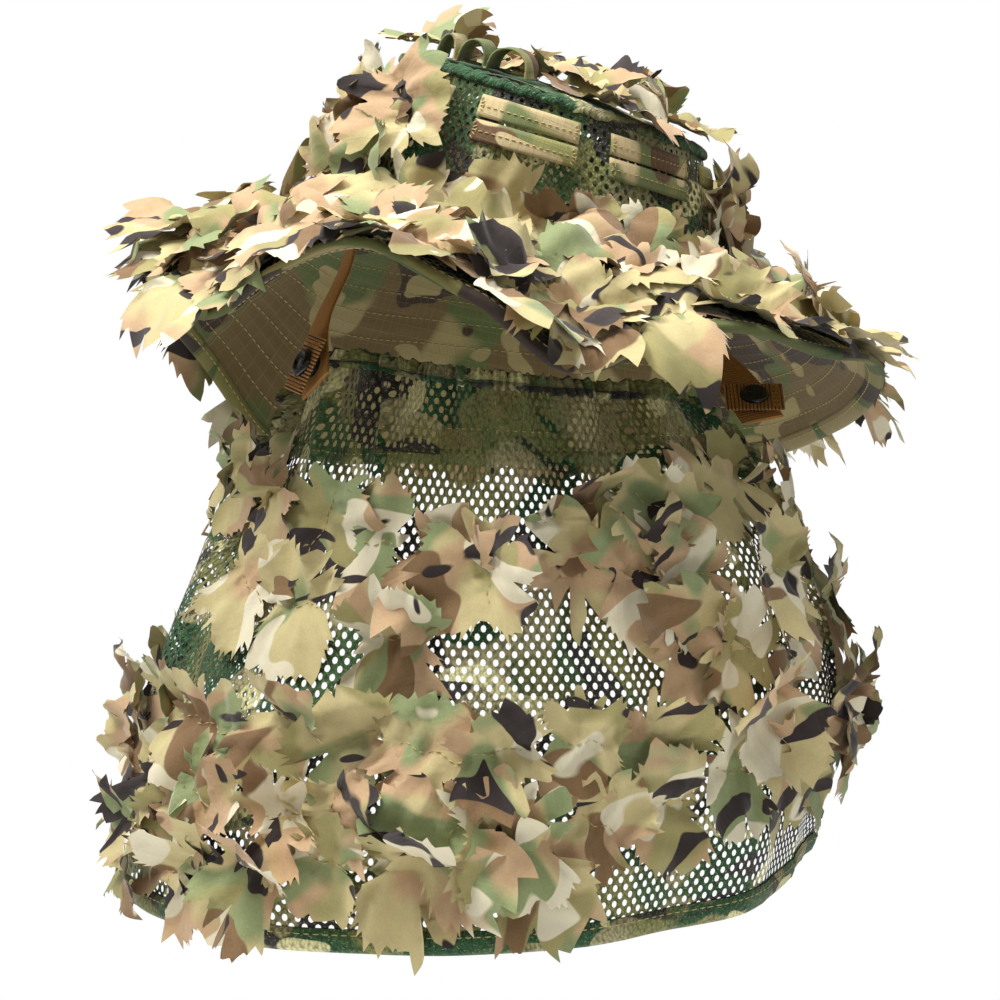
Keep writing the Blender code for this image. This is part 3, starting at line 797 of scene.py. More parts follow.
def build_crown(mats):
    size = (CROWN_SIDE_LONG, CROWN_HEIGHT)
    for side, start in (("left", -math.pi / 2), ("right", math.pi / 2)):

        def wall(u, v, start=start):
            angle = start + math.pi * u
            height = -0.001 + (CROWN_HEIGHT + 0.001) * v
            ripple = 0.0012 * np.sin(9 * angle + 40 * height) + 0.0009 * np.sin(17 * angle - 70 * height)
            return crown_point(angle, height, ripple * np.sin(math.pi * v))

        name = f"crown_side_mesh_{side}"
        piece = holed_cloth(name, wall, size, mats["crown_knit"], print_start=(0.0, PRINT_CROWN_SIDE))
        place_piece(piece, "hat", "mesh", f"crown_side_panel_{side}")

    a, share = np.meshgrid(round_angles(96), np.linspace(0.02, 1.0, 14))
    ripple = 0.0008 * np.sin(5 * a + 9 * share) + 0.0006 * np.sin(11 * a - 14 * share)
    top = dome_point(a, share, ripple * share)
    flat_x, flat_y = CROWN_TOP_X * share * np.cos(a), CROWN_TOP_Y * share * np.sin(a)
    cloth = np.stack([flat_x, flat_y, 0 * a + PRINT_CROWN_TOP], -1)
    faces = grid_faces(*top.shape[:2], True).tolist()
    faces.append(tuple(range(top.shape[1] - 1, -1, -1)))
    piece = mesh_object("crown_top_cloth", top, faces, mats["crown_knit"], cloth)
    place_piece(piece, "hat", "mesh", "crown_top_panel")

    # The tape's section from the side panel over the rim to the top, as (height, distance outwards)
    section = [(-0.0026, 0.0004), (-0.0024, 0.0014), (-0.0012, 0.0018), (0.0004, 0.0015), (0.0014, 0.0002)]
    section += [(0.0020, -0.0014), (0.0022, -0.0026), (0.0018, -0.0032)]
    angles = round_angles(360)
    pucker = 0.0003 * np.sin(90 * angles) + 0.0004 * np.sin(37 * angles + 1)
    rows = np.array([crown_point(angles, CROWN_HEIGHT + h + pucker, o + pucker) for h, o in section])
    piece = grid_sheet("crown_seam_binding", rows, mats["casing"], closed=True, thickness=0.0006)
    place_piece(piece, "hat", "tape", "crown_seam_tape")

    a, h = np.meshgrid(round_angles(180), np.linspace(0.0, SWEATBAND_TALL, 9))
    band = crown_point(a, h, -0.0026 + 0.0003 * np.sin(40 * a))
    piece = grid_sheet("sweatband_cloth", band, mats["ripstop"], closed=True, thickness=0.0008)
    place_piece(piece, "hat", "ripstop", "sweatband")


def build_brim(mats):
    def top(u, v):
        return brim_point(TURN * u - math.pi, v, BRIM_LAYER_STEP)

    piece = holed_cloth("brim_top_cloth", top, BRIM_FLAT, mats["brim_knit"], True, (0.0, PRINT_BRIM_TOP))
    place_piece(piece, "hat", "mesh", "brim_top_mesh")

    a, s = np.meshgrid(round_angles(288), np.linspace(0.0, 1.0, 28))
    pucker = 0.0005 * np.cos(TURN * s * STITCH_ROWS)
    lining = brim_point(a, s, -BRIM_LAYER_STEP + pucker)
    cloth = np.stack([LINING_PRINT_R * (a + math.pi), BRIM_FLAT[1] * s, 0 * a + PRINT_BRIM_LINING], -1)
    piece = grid_sheet("brim_lining_cloth", lining, mats["ripstop"], cloth, closed=True)
    place_piece(piece, "hat", "ripstop", "brim_lining")

    angle = np.linspace(-math.pi, math.pi, 361)
    shares = [row / STITCH_ROWS + 0 * angle for row in range(1, STITCH_ROWS)]
    paths = [brim_point(angle, share, -BRIM_LAYER_STEP + 0.0004) for share in shares]
    normals = [-brim_normal(angle, share) for share in shares]
    piece = stitches("brim_lining_stitching", paths, normals, mats["thread"], length=0.0028, gap=0.0012)
    place_piece(piece, "hat", "ripstop")

    angle = round_angles(480)
    one = 1.0 + 0 * angle
    edge = brim_point(angle, one)
    outward = unit(edge - brim_point(angle, one - 0.04))
    normal = brim_normal(angle, one)
    x, z = rounded(ring_turns(12), 0.7, 0.6)
    across = (x * BINDING_HALF_WIDE - 0.0012)[None, :, None]
    thick = (z * BINDING_HALF_THICK)[None, :, None]
    sections = edge[:, None] + outward[:, None] * across + normal[:, None] * thick
    piece = tube("brim_edge_binding", sections, mats["tape"], closed=True)
    place_piece(piece, "hat", "tape", "brim_binding")
    line = edge - outward * 0.0030
    line = np.concatenate([line, line[:1]])
    upward = np.concatenate([normal, normal[:1]])
    paths = [line + upward * BINDING_HALF_THICK, line - upward * BINDING_HALF_THICK]
    piece = stitches("brim_binding_stitching", paths, [upward, -upward], mats["thread"])
    place_piece(piece, "hat", "tape")


def build_foliage_loops(mats):
    paths, normals = [], []
    for row, middle in LOOP_ROWS.items():
        for number in range(LOOPS_PER_ROW):
            centre = FIRST_LOOP + number * TURN / LOOPS_PER_ROW
            angles = centre + LOOP_SPAN * np.linspace(-0.5, 0.5, 25)
            a, h = np.meshgrid(angles, middle + LOOP_TALL * np.linspace(-0.5, 0.5, 7))
            arch = LOOP_ARCH * np.sin(math.pi * np.linspace(0, 1, 25)) * (1 + 0.25 * math.sin(number * 2.3))
            edge = 0.0006 * np.abs(np.linspace(-1, 1, 7))[:, None] ** 3
            points = crown_point(a, h, LOOP_OUT + arch - edge)
            depth = PRINT_FIRST_LOOP + PRINT_LOOP_STEP * number
            cloth = np.stack([LOOP_PRINT_R * (a - centre), h, 0 * a + depth], -1)
            name = f"foliage_loop_strip_{row}_{number + 1}"
            piece = grid_sheet(name, points, mats["ripstop_pale"], cloth, thickness=0.0009)
            place_piece(piece, "hat", "ripstop", f"foliage_loop_{row}_{number + 1}")

            level = middle + 0 * angles
            paths.append(crown_point(angles, level, 0.0029 + arch))
            normals.append(unit(crown_point(angles, level, 0.01) - crown_point(angles, level)))
            for end in (-0.47, 0.47):
                a = centre + LOOP_SPAN * (end + 0.02 * np.cos(math.pi * np.arange(9)))
                h = middle + LOOP_TALL * np.linspace(-0.42, 0.42, 9)
                paths.append(crown_point(a, h, 0.0030))
                normals.append(unit(crown_point(a, h, 0.01) - crown_point(a, h)))
    piece = stitches("foliage_loop_stitching", paths, normals, mats["thread"], length=0.0020, gap=0.0010)
    place_piece(piece, "hat", "ripstop")


def build_top_loops(mats):
    xs, zs = [], []
    turns = np.linspace(0, math.pi, 21)
    for start, end in TOP_LOOPS:
        xs += [start - 0.0010, *((start + end) / 2 - (end - start) / 2 * np.cos(turns)), end + 0.0010]
        zs += [0.0, *(TOP_LOOP_TALL * np.maximum(np.sin(turns), 0.0) ** 0.7), 0.0]
    x = np.array(xs)
    z = np.array(zs)
    rows = []
    for depth in np.linspace(TOP_LOOP_FRONT, TOP_LOOP_BACK, 9):
        share = np.hypot(x / CROWN_TOP_X, depth / CROWN_TOP_Y)
        base = CROWN_HEIGHT + DOME_BASE + CROWN_DOME * (1 - share**2) + 0.0018
        lean = 0.10 * z * math.sin(400 * depth)
        rows.append(rolled(x + lean, depth + 0 * x, base + z))
    piece = grid_sheet("top_loop_cloth", np.array(rows), mats["ripstop_pale"], thickness=0.0008)
    place_piece(piece, "hat", "ripstop", "top_loop_strip")


# ---------------------------------------------------------------- veil


def veil_flat(part):
    low, high = VEIL_PARTS[part]
    return VEIL_FLAT_R * math.radians(high - low), VEIL_FLAT_TALL


def bend_piece(piece, slot, *nodes):
    """Bakes a piece's place into its mesh, and hides the CAD nodes that it stands for."""
    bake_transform(piece)
    name_finish(nodes)


def build_veil(mats):
    # The hem's section round the mesh's lower edge, as (height, distance outwards)
    hem_section = [(0.0085, 0.0006), (0.0070, 0.0016), (0.0030, 0.0016), (0.0002, 0.0012), (-0.0012, 0.0)]
    hem_section += [(0.0002, -0.0012), (0.0030, -0.0015), (0.0085, -0.0008)]
    for name, (low, high) in VEIL_PARTS.items():
        start, stop = math.radians(low), math.radians(high)
        front = name == "front"

        def panel(u, v, start=start, stop=stop):
            angle = start + (stop - start) * u
            level = veil_hem(angle) + (veil_top(angle) - veil_hem(angle)) * v
            return veil_point(angle, level)

        label = "veil_front_mesh" if front else f"veil_side_{name}_mesh"
        print_start = (VEIL_FLAT_R * start, PRINT_VEIL)
        piece = holed_cloth(label, panel, veil_flat(name), mats["veil_knit"], print_start=print_start)
        bend_piece(piece, "mesh", "veil_front_panel" if front else f"veil_side_panel_{name}")

        angles = np.linspace(start, stop, int((high - low) * 7))
        ruche = 0.0017 * np.sin(140 * angles + 3 * np.sin(20 * angles))
        frill = 0.0012 * np.sin(93 * angles + 2 * np.sin(13 * angles)) + 0.0008 * np.sin(181 * angles)
        sections = []
        for turn in ring_turns(12):
            tall = (CASING_HALF_TALL + 0.5 * frill) * math.sin(turn)
            level = veil_top(angles) - CASING_BELOW + tall
            out = (CASING_HALF_THICK + ruche) * math.cos(turn) + CASING_OUT + frill * math.sin(turn)
            sections.append(veil_point(angles, level, out))
        label = "nose_elastic_casing" if front else f"cheek_elastic_casing_{name}"
        piece = tube(label, np.swapaxes(np.array(sections), 0, 1), mats["casing"])
        bend_piece(piece, "elastic", "nose_elastic" if front else f"cheek_elastic_{name}")

        rows = np.array([veil_point(angles, veil_hem(angles) + h, o) for h, o in hem_section])
        piece = grid_sheet(f"hem_binding_{name}", rows, mats["casing"])
        bend_piece(piece, "tape", f"hem_{name}")
        path = veil_point(angles, veil_hem(angles) + 0.0062, 0.0016)
        normal = unit(veil_point(angles, veil_hem(angles) + 0.0062, 0.01) - path)
        piece = stitches(f"hem_stitching_{name}", [path], [normal], mats["thread"])
        bend_piece(piece, "tape")


# ---------------------------------------------------------------- leaf cloth


def leaf_outline(rng, half_long, half_wide):
    """Turns and radii of a leaf-cut outline: a rounded shape with notches and teeth that lean to its tips."""
    notches = []
    for _ in range(rng.integers(3, 7)):
        notches.append((rng.uniform(0, TURN), rng.uniform(0.20, 0.55), rng.uniform(0.06, 0.17)))
    lobe_shares = (0.0, 0.12, 0.25, 0.4, 0.55, 0.7, 0.8, 0.9)
    tooth_shares = (0.0, 0.3, 0.55, 0.8, 0.92)
    turns, heights = [], []
    turn = 0.0
    while turn < TURN - 0.05:
        lobe = rng.random() < 0.3
        size = min(rng.uniform(0.28, 0.60) if lobe else rng.uniform(0.07, 0.20), TURN - turn)
        tall = rng.uniform(0.10, 0.26) if lobe else rng.uniform(0.02, 0.14)
        leans_on = (turn + size / 2) % math.pi < math.pi / 2
        peak = 0.8 if leans_on else 0.2
        shares = np.array(lobe_shares if lobe else tooth_shares)
        if not leans_on:
            shares = np.concatenate([[0.0], 1 - shares[:0:-1]])
        for share in shares:
            rise = share / peak if share <= peak else (1 - share) / (1 - peak)
            turns.append(turn + size * share)
            heights.append(tall * rise ** (1.1 if lobe else 1.6))
        turn += size
    turns = np.array(turns)
    power = 2.6
    across, along = np.abs(np.cos(turns) / half_wide), np.abs(np.sin(turns) / half_long)
    radii = (across**power + along**power) ** (-1 / power)
    radii = radii * (0.84 + np.array(heights))
    for middle, depth, spread in notches:
        radii = radii * (1 - depth * np.exp(-((wrap(turns - middle) / spread) ** 2)))
    return turns, radii


def leaf_flat(rng, half_long, half_wide):
    """A leaf-cut cloth on its flat: points, triangles, and each point's share of the way to the edge."""
    turns, radii = leaf_outline(rng, half_long, half_wide)
    outline = np.stack([radii * np.cos(turns), radii * np.sin(turns)], -1)
    reach = radii.max()
    row_step = LEAF_PITCH * 0.866
    rows = int(reach / row_step) + 1
    columns = int(reach / LEAF_PITCH) + 1
    j, i = np.meshgrid(np.arange(-rows, rows + 1), np.arange(-columns, columns + 1), indexing="ij")
    inner = np.stack([(i + 0.5 * (j % 2)) * LEAF_PITCH, j * row_step], -1).reshape(-1, 2)
    away = np.linalg.norm(inner, axis=1)
    edge = np.interp(np.arctan2(inner[:, 1], inner[:, 0]) % TURN, turns, radii, period=TURN)
    inner = inner[away < 0.92 * edge - 0.0006]
    points = [Vector(p) for p in np.concatenate([outline, inner])]
    count = len(outline)
    edges = [(k, (k + 1) % count) for k in range(count)]
    flat, _, faces, _, _, _ = delaunay_2d_cdt(points, edges, [], 1, 1e-7)
    flat = np.array([tuple(p) for p in flat])
    edge = np.interp(np.arctan2(flat[:, 1], flat[:, 0]) % TURN, turns, radii, period=TURN)
    return flat, faces, np.minimum(np.linalg.norm(flat, axis=1) / edge, 1.0)


def leaf_shape(rng, flat, share, half_long, lifts):
    """A leaf-cut cloth sewn down across its middle: pleats at the seam, and two flaps that billow and curl.

    lifts holds, for the flap behind the seam and the one ahead of it, the range of its lift in degrees.
    """
    x, y = flat[:, 0], flat[:, 1]
    reach = np.abs(y)
    gather = rng.uniform(0.25, 0.45) * np.exp(-((reach / 0.011) ** 2))
    sides = x * (1 - gather)
    folds = np.sin(math.pi * x / rng.uniform(0.0085, 0.0125) + rng.uniform(0, 6) + 0.4 * np.sin(300 * x))
    pleat = rng.uniform(0.0026, 0.0042) * (0.62 - np.abs(folds) ** 0.7)
    rise = pleat * np.exp(-reach / 0.013) * np.minimum(reach / 0.003 + 0.25, 1)
    steps = np.linspace(0, 1, 25)
    flap = half_long * 1.15
    ahead = np.zeros_like(y)
    for sign, (low, high) in ((-1, lifts[0]), (1, lifts[1])):
        first = math.radians(rng.uniform(low, high))
        bend = math.radians(rng.uniform(-10, 95)) + first * 0.5
        slope = first - bend * steps**1.3
        forward = np.concatenate([[0], np.cumsum(np.cos(slope[:-1]))]) * flap / 24
        upward = np.concatenate([[0], np.cumsum(np.sin(slope[:-1]))]) * flap / 24
        here = y * sign > 0
        place = np.clip(reach / flap, 0, 1)
        ahead = np.where(here, sign * np.interp(place, steps, forward), ahead)
        rise = rise + np.where(here, np.interp(place, steps, upward), 0)
        twist = rng.uniform(-0.35, 0.35)
        rise = rise + np.where(here, twist * x * place, 0)
        wave = rng.uniform(0.0010, 0.0034) * np.sin(TURN * x / rng.uniform(0.020, 0.036) + rng.uniform(0, 6))
        rise = rise + np.where(here, wave * np.minimum(place * 1.6, 1), 0)
    turn = np.arctan2(y, x)
    curl = 1 + 0.8 * np.sin(3 * turn + rng.uniform(0, 6)) + 0.5 * np.sin(7 * turn + rng.uniform(0, 6))
    rise = rise + rng.uniform(-0.001, 0.0035) * curl * share**4
    crease = rng.uniform(0, TURN)
    along_crease = x * math.cos(crease) + y * math.sin(crease)
    across_crease = y * math.cos(crease) - x * math.sin(crease)
    rise = rise + 0.0009 * np.sin(TURN * along_crease / 0.014 + 90 * across_crease + rng.uniform(0, 6))
    return sides, ahead, rise


def clear_of(tree, normals, points, clearance):
    """Points pushed out to at least clearance above the surface under them. Points beside it stay."""
    moved = points.copy()
    for k, point in enumerate(points):
        found, _, index, _ = tree.find_nearest(Vector(point))
        normal = normals[index]
        gap = point - np.array(found)
        height = float(gap @ normal)
        beside = float(np.linalg.norm(gap - height * normal))
        if height < clearance[k] and beside < 0.004:
            moved[k] = point + normal * (clearance[k] - height)
    return moved


def surface_tree(grids):
    """A search tree over (grid, raised grid, closed) surfaces, and each face's outward normal."""
    points, faces, normals = [], [], []
    for grid, raised, closed in grids:
        base = len(points)
        rows, columns = grid.shape[:2]
        quads = grid_faces(rows, columns, closed)
        outward = (raised - grid).reshape(-1, 3)
        normals.append(unit(outward[quads].mean(1)))
        points.extend(grid.reshape(-1, 3).tolist())
        faces.extend((quads + base).tolist())
    return BVHTree.FromPolygons(points, faces), np.concatenate(normals)


def leaf_piece(name, rng, surface, pins, settings, mats):
    """One object of leaf-cut cloths, each sewn at a pin on a surface, and one of their stitches.

    A pin is (origin, normal, run), and the seam crosses the run.
    """
    tree, normals = surface
    points, faces, cloths, seams, seam_normals = [], [], [], [], []
    count = 0
    for number, (origin, normal, run) in enumerate(pins):
        half_long = settings["long"] / 2 * rng.uniform(0.8, 1.2)
        half_wide = settings["wide"] / 2 * rng.uniform(0.8, 1.25)
        flat, triangles, share = leaf_flat(rng, half_long, half_wide)
        size = len(flat)
        across = np.linspace(-0.62, 0.62, 15) * half_wide
        seam = np.stack([across, 0.0012 * np.sin(across / 0.003)], -1)
        flat = np.concatenate([flat, seam])
        share = np.concatenate([share, np.zeros(len(seam))])
        x, y, z = leaf_shape(rng, flat, share, half_long, settings["lifts"])
        turn = rng.normal(0, settings["scatter"])
        side = unit(np.cross(run, normal))
        ey = run * math.cos(turn) + side * math.sin(turn)
        ex = np.cross(ey, normal)
        base = 0.0018 + 0.0016 * (number % 5)
        spot = origin + x[:, None] * ex + y[:, None] * ey + (z + base)[:, None] * normal
        away = np.linalg.norm(spot - origin, axis=1)
        spot[:, 2] -= settings["droop"] * rng.uniform(0.5, 1.4) * away**2
        clearance = base * (0.7 + 0.3 * np.minimum(away / 0.02, 1)) + np.maximum(z, 0) * 0.25
        spot = clear_of(tree, normals, spot, clearance)
        seams.append(spot[size:])
        seam_normals.append(np.tile(normal, (len(seam), 1)))
        points.append(spot[:size])
        faces += [tuple(k + count for k in triangle) for triangle in triangles]
        count += size
        place = rng.uniform(0, 3, 3)
        spin = rng.uniform(0, TURN)
        u, v = flat[:size].T
        turned_u = u * math.cos(spin) - v * math.sin(spin)
        turned_v = u * math.sin(spin) + v * math.cos(spin)
        cloths.append(np.stack([turned_u, turned_v, 0 * u], -1) + place)
    leaves = mesh_object(name, np.concatenate(points), faces, mats["leaf"], np.concatenate(cloths))
    sizes = {"length": 0.0024, "gap": 0.0012, "radius": 0.0003, "lift": 0.0003}
    return leaves, stitches(f"{name}_stitching", seams, seam_normals, mats["thread"], **sizes)


def brim_pins(rng, share, spacing):
    """Pins round the brim at a share of its width."""
    count = int((BRIM_INNER_ROUND + BRIM_ADDED_ROUND * share) / spacing)
    pins = []
    for k in range(count):
        angle = np.array([TURN * (k + rng.uniform(-0.3, 0.3)) / count])
        here = np.array([share + rng.uniform(-0.07, 0.07)])
        origin = brim_point(angle, here, 0.001)[0]
        run = unit(brim_point(angle, here + 0.05)[0] - brim_point(angle, here - 0.05)[0])
        pins.append((origin, brim_normal(angle, here)[0], run))
    return pins


def crown_pins(rng, turns, heights):
    pins = []
    for degrees, height in zip(turns, heights):
        angle = np.array([math.radians(degrees + rng.uniform(-4, 4))])
        here = np.array([height + rng.uniform(-0.004, 0.004)])
        origin = crown_point(angle, here, 0.001)[0]
        normal = unit(crown_point(angle, here, 0.01)[0] - origin)
        run = unit(crown_point(angle, here - 0.01)[0] - crown_point(angle, here + 0.01)[0])
        pins.append((origin, normal, run))
    return pins


def build_hat_leaves(mats):
    a, s = np.meshgrid(round_angles(144), np.linspace(0, 1, 14))
    brim = (brim_point(a, s, 0.001), brim_point(a, s, 0.011), True)
    a, h = np.meshgrid(round_angles(120), np.linspace(CROWN_HEIGHT, 0, 8))
    crown = (crown_point(a, h, 0.001), crown_point(a, h, 0.011), True)
    a, s = np.meshgrid(round_angles(60), np.linspace(0.02, 1, 8))
    top = (dome_point(a, s), dome_point(a, s, 0.01), True)
    surface = surface_tree([brim, crown, top])
    rng = np.random.default_rng(11)

    def sew(name, pins, settings, *nodes):
        piece, thread = leaf_piece(name, rng, surface, pins, settings, mats)
        place_piece(piece, "hat", "leaf_cloth", *nodes)
        place_piece(thread, "hat", "leaf_cloth")

    sew("leaves_brim_edge", brim_pins(rng, 0.82, LEAF_SPACING), BRIM_EDGE_LEAF, "leaf_strip_brim_outer")
    sew("leaves_brim_middle", brim_pins(rng, 0.56, LEAF_SPACING), BRIM_MIDDLE_LEAF)
    pins = brim_pins(rng, 0.28, INNER_LEAF_SPACING)
    sew("leaves_brim_inner", pins, BRIM_INNER_LEAF, "leaf_strip_brim_inner")
    turns = np.arange(-180, 180, 20)
    start, end = CROWN_FRONT
    heights = [FRONT_LEAF_HEIGHT if start < turn < end else LOW_LEAF_HEIGHT for turn in turns]
    pins = crown_pins(rng, turns, heights)
    pins += crown_pins(rng, HIGH_LEAVES, [HIGH_LEAF_HEIGHT] * len(HIGH_LEAVES))
    sew("leaves_crown", pins, CROWN_LEAF, "leaf_strip_crown")
    pins = []
    upright = rolled(np.array([0.0]), np.array([0.0]), np.array([1.0]))[0]
    for degrees, share in TOP_LEAVES:
        angle = np.array([math.radians(degrees)])
        share = np.array([share])
        origin = dome_point(angle, share)[0]
        run = unit(dome_point(angle, share + 0.05)[0] - origin)
        pins.append((origin, upright, run))
    sew("leaves_top", pins, TOP_LEAF, "leaf_tuft_top")


def build_veil_leaves(mats):
    a, share = np.meshgrid(np.linspace(math.radians(-114), math.radians(114), 160), np.linspace(0, 1, 50))
    level = veil_top(a) + (veil_hem(a) - veil_top(a)) * share
    surface = surface_tree([(veil_point(a, level), veil_point(a, level, 0.01), False)])
    rng = np.random.default_rng(23)
    gathered = {(part, row): [] for part in VEIL_PARTS for row in ("upper", "lower")}
    for route in VEIL_LEAF_ROUTES:
        knots = np.array(route, float)
        span = knots[-1, 0] - knots[0, 0]
        count = max(int(VEIL_MEAN_R * math.radians(span) / LEAF_SPACING), 2)
        for k in range(count):
            degrees = knots[0, 0] + span * (k + 0.5 + rng.uniform(-0.3, 0.3)) / count
            level = np.array([np.interp(degrees, knots[:, 0], knots[:, 1]) + rng.uniform(-0.006, 0.006)])
            angle = np.array([math.radians(degrees)])
            origin = veil_point(angle, level)[0]
            normal = unit(veil_plain(angle, level, 0.01)[0] - veil_plain(angle, level)[0])
            run = unit(veil_plain(angle, level - 0.01)[0] - veil_plain(angle, level + 0.01)[0])
            part = next(name for name, (low, high) in VEIL_PARTS.items() if low <= degrees <= high)
            row = "lower" if level[0] < LOWER_LEAVES_BELOW else "upper"
            gathered[part, row].append((origin, normal, run))
    for (part, row), pins in gathered.items():
        piece, thread = leaf_piece(f"leaves_{part}_{row}", rng, surface, pins, VEIL_LEAF, mats)
        bend_piece(piece, "leaf_cloth", f"leaf_strip_{part}_{row}")
        bend_piece(thread, "leaf_cloth")


# ---------------------------------------------------------------- snaps and tabs


def frame_at(origin, normal, run):
    z = Vector(normal).normalized()
    y = Vector(run)
    y = (y - z * y.dot(z)).normalized()
    x = y.cross(z)
    return Matrix.Translation(Vector(origin)) @ Matrix((x, y, z)).transposed().to_4x4()


def turned(name, profile, place, material, sides=48):
    """A solid of revolution about a frame's z axis, from (radius, height) points."""
    points, faces = [], []
    for radius, height in profile:
        for k in range(sides):
            a = TURN * k / sides
            points.append(place @ Vector((radius * math.cos(a), radius * math.sin(a), height)))
    count = len(profile)
    for i in range(count):
        j = (i + 1) % count
        if profile[i][0] < 1e-5 and profile[j][0] < 1e-5:
            continue
        for k in range(sides):
            n = (k + 1) % sides
            faces.append((i * sides + k, i * sides + n, j * sides + n, j * sides + k))
    made = mesh_object(name, np.array(points), faces, material)
    merge_points(made.data)
    made.data.shade_smooth()
    made.data.set_sharp_from_angle(angle=math.radians(50))
    return made


def merge_points(mesh):
    """Merges points that coincide and turns all faces outwards."""
    builder = bmesh.new()
    builder.from_mesh(mesh)
    bmesh.ops.remove_doubles(builder, verts=builder.verts, dist=1e-6)
    bmesh.ops.dissolve_degenerate(builder, dist=1e-7, edges=builder.edges)
    bmesh.ops.recalc_face_normals(builder, faces=builder.faces)
    builder.to_mesh(mesh)
    builder.free()


def webbing(name, centres, sideways, material):
    """A ribbed webbing strip along points, with its width along the sideways directions."""
    reach = distances(centres)
    along = unit(np.gradient(centres, axis=0))
    sideways = unit(sideways - along * np.sum(sideways * along, 1, keepdims=True))
    upward = np.cross(sideways, along)
    rib = np.sin(TURN * reach / RIB_PITCH)
    near_end = np.minimum(reach, reach[-1] - reach)
    ends = np.minimum(1.0, (near_end + 0.0002) / 0.0006) ** 0.5
    thick = (TAB_THICK / 2 + 0.00012 + 0.00022 * rib) * ends
    half = TAB_WIDE / 2 + 0.0001 * rib
    x, z = rounded(ring_turns(18), 0.35, 0.7)
    across = (x[None, :] * half[:, None])[..., None] * sideways[:, None]
    rise = (z[None, :] * thick[:, None])[..., None] * upward[:, None]
    return tube(name, centres[:, None] + across + rise, material)


def hat_tab_path(place, angle):
    """Centres and width directions of the tab that hangs from the crown's seam at an angle to its stud."""
    root = crown_point(np.array([angle]), np.array([0.004]), -0.005)[0]
    middle = TAB_THICK / 2
    tail = np.array(place @ Vector((0, -TAB_TAIL, middle)))
    stud_end = np.array(place @ Vector((0, TAB_TAIL, middle)))
    run = np.array(place.to_3x3() @ Vector((0, 1, 0)))
    first_side = np.array(place.to_3x3() @ Vector((1, 0, 0)))
    ring = crown_point(np.array([angle + 0.05, angle - 0.05]), np.array([0.0, 0.0]))
    last_side = unit(ring[0] - ring[1])
    if last_side @ first_side < 0:
        last_side = -last_side
    straight = np.linspace(tail, stud_end, TAB_STEPS)
    t = np.linspace(0, 1, TAB_CURVE_STEPS)[1:, None]
    reach = np.linalg.norm(root - stud_end)
    up = np.array([0.0, 0.0, 1.0])
    h00, h10 = 2 * t**3 - 3 * t**2 + 1, t**3 - 2 * t**2 + t
    h01, h11 = 3 * t**2 - 2 * t**3, t**3 - t**2
    curve = h00 * stud_end + h10 * run * reach + h01 * root + h11 * up * reach
    share = np.concatenate([np.zeros((TAB_STEPS, 1)), 3 * t**2 - 2 * t**3])
    return np.concatenate([straight, curve]), first_side * (1 - share) + last_side * share


def build_veil_tab(mats, side, place):
    """The veil's tab in a frame with its run along y and the tab above z = 0, and its stitches."""

    def at(x, y, z):
        return np.array(place @ Vector((x, y, z)))

    def facing(x, y, z):
        return np.array(place.to_3x3() @ Vector((x, y, z)))

    end = TAB_LONG / 2
    centres = np.linspace(at(0, -end, TAB_THICK / 2), at(0, end, TAB_THICK / 2), VEIL_TAB_STEPS)
    sideways = np.tile(facing(1, 0, 0), (VEIL_TAB_STEPS, 1))
    piece = webbing(f"veil_webbing_tab_{side}", centres, sideways, mats["webbing"])
    place_piece(piece, f"snap_tab_{side}", "webbing", f"veil_snap_tab_{side}")
    rows = [-end + TAB_SEAMS[0], -end + TAB_SEAMS[1], end - TAB_SEAMS[1], end - TAB_SEAMS[0]]
    xs = np.linspace(-TAB_SEAM_HALF, TAB_SEAM_HALF, 12)
    paths = [np.array([at(x, y, TAB_THICK + 0.0003) for x in xs]) for y in rows]
    normals = [np.tile(facing(0, 0, 1), (12, 1))] * len(rows)
    name = f"veil_tab_stitching_{side}"
    piece = stitches(name, paths, normals, mats["thread_gold"], length=0.0022, gap=0.0007)
    place_piece(piece, f"snap_tab_{side}", "webbing")


def build_snaps(mats):
    base = TAB_THICK + SNAP_SPACE
    (middle_r, middle_z), (half_r, half_z) = SPRING_MIDDLE, SPRING_HALF
    spring = [(middle_r + half_r * math.cos(t), middle_z + half_z * math.sin(t)) for t in ring_turns(8)]
    for side, facts in SNAPS.items():
        hat_place = frame_at(facts["middle"], facts["facing"], facts["hat_run"])
        veil_place = frame_at(facts["middle"], facts["facing"], facts["veil_run"])
        centres, sideways = hat_tab_path(hat_place, math.radians(facts["root_angle"]))
        piece = webbing(f"hat_webbing_tab_{side}", centres, sideways, mats["webbing"])
        place_piece(piece, "hat", "webbing", f"hat_snap_tab_{side}")
        build_veil_tab(mats, side, veil_place @ Matrix.Translation((0, 0, base)))
        parts = [
            ("stud", STUD, TAB_THICK, "snap_steel", "snap_stud"),
            ("post", POST, 0.0, "snap_steel", "snap_post"),
            ("socket", SOCKET, base, "snap_steel", "snap_socket"),
            ("spring_ring", spring, base, "snap_steel", "snap_spring"),
            ("cap", CAP, base + TAB_THICK, "snap_black", "snap_cap"),
        ]
        for name, section, start, finish, node in parts:
            on_hat = name in ("stud", "post")
            profile = [(radius, start + height) for radius, height in section]
            piece = turned(f"{name}_{side}", profile, hat_place if on_hat else veil_place, mats[finish])
            place_piece(piece, "hat" if on_hat else f"snap_tab_{side}", finish, f"{node}_{side}")


def declare_cloths():
    """Goes through the veil's parts and the names of their elastic casings, and does nothing with them."""
    for part, edge in (("front", "nose_elastic"), ("right", "cheek_elastic"), ("left", "cheek_elastic")):
        edge = f"{edge}_casing" if part == "front" else f"{edge}_casing_{part}"


# ---------------------------------------------------------------- stage


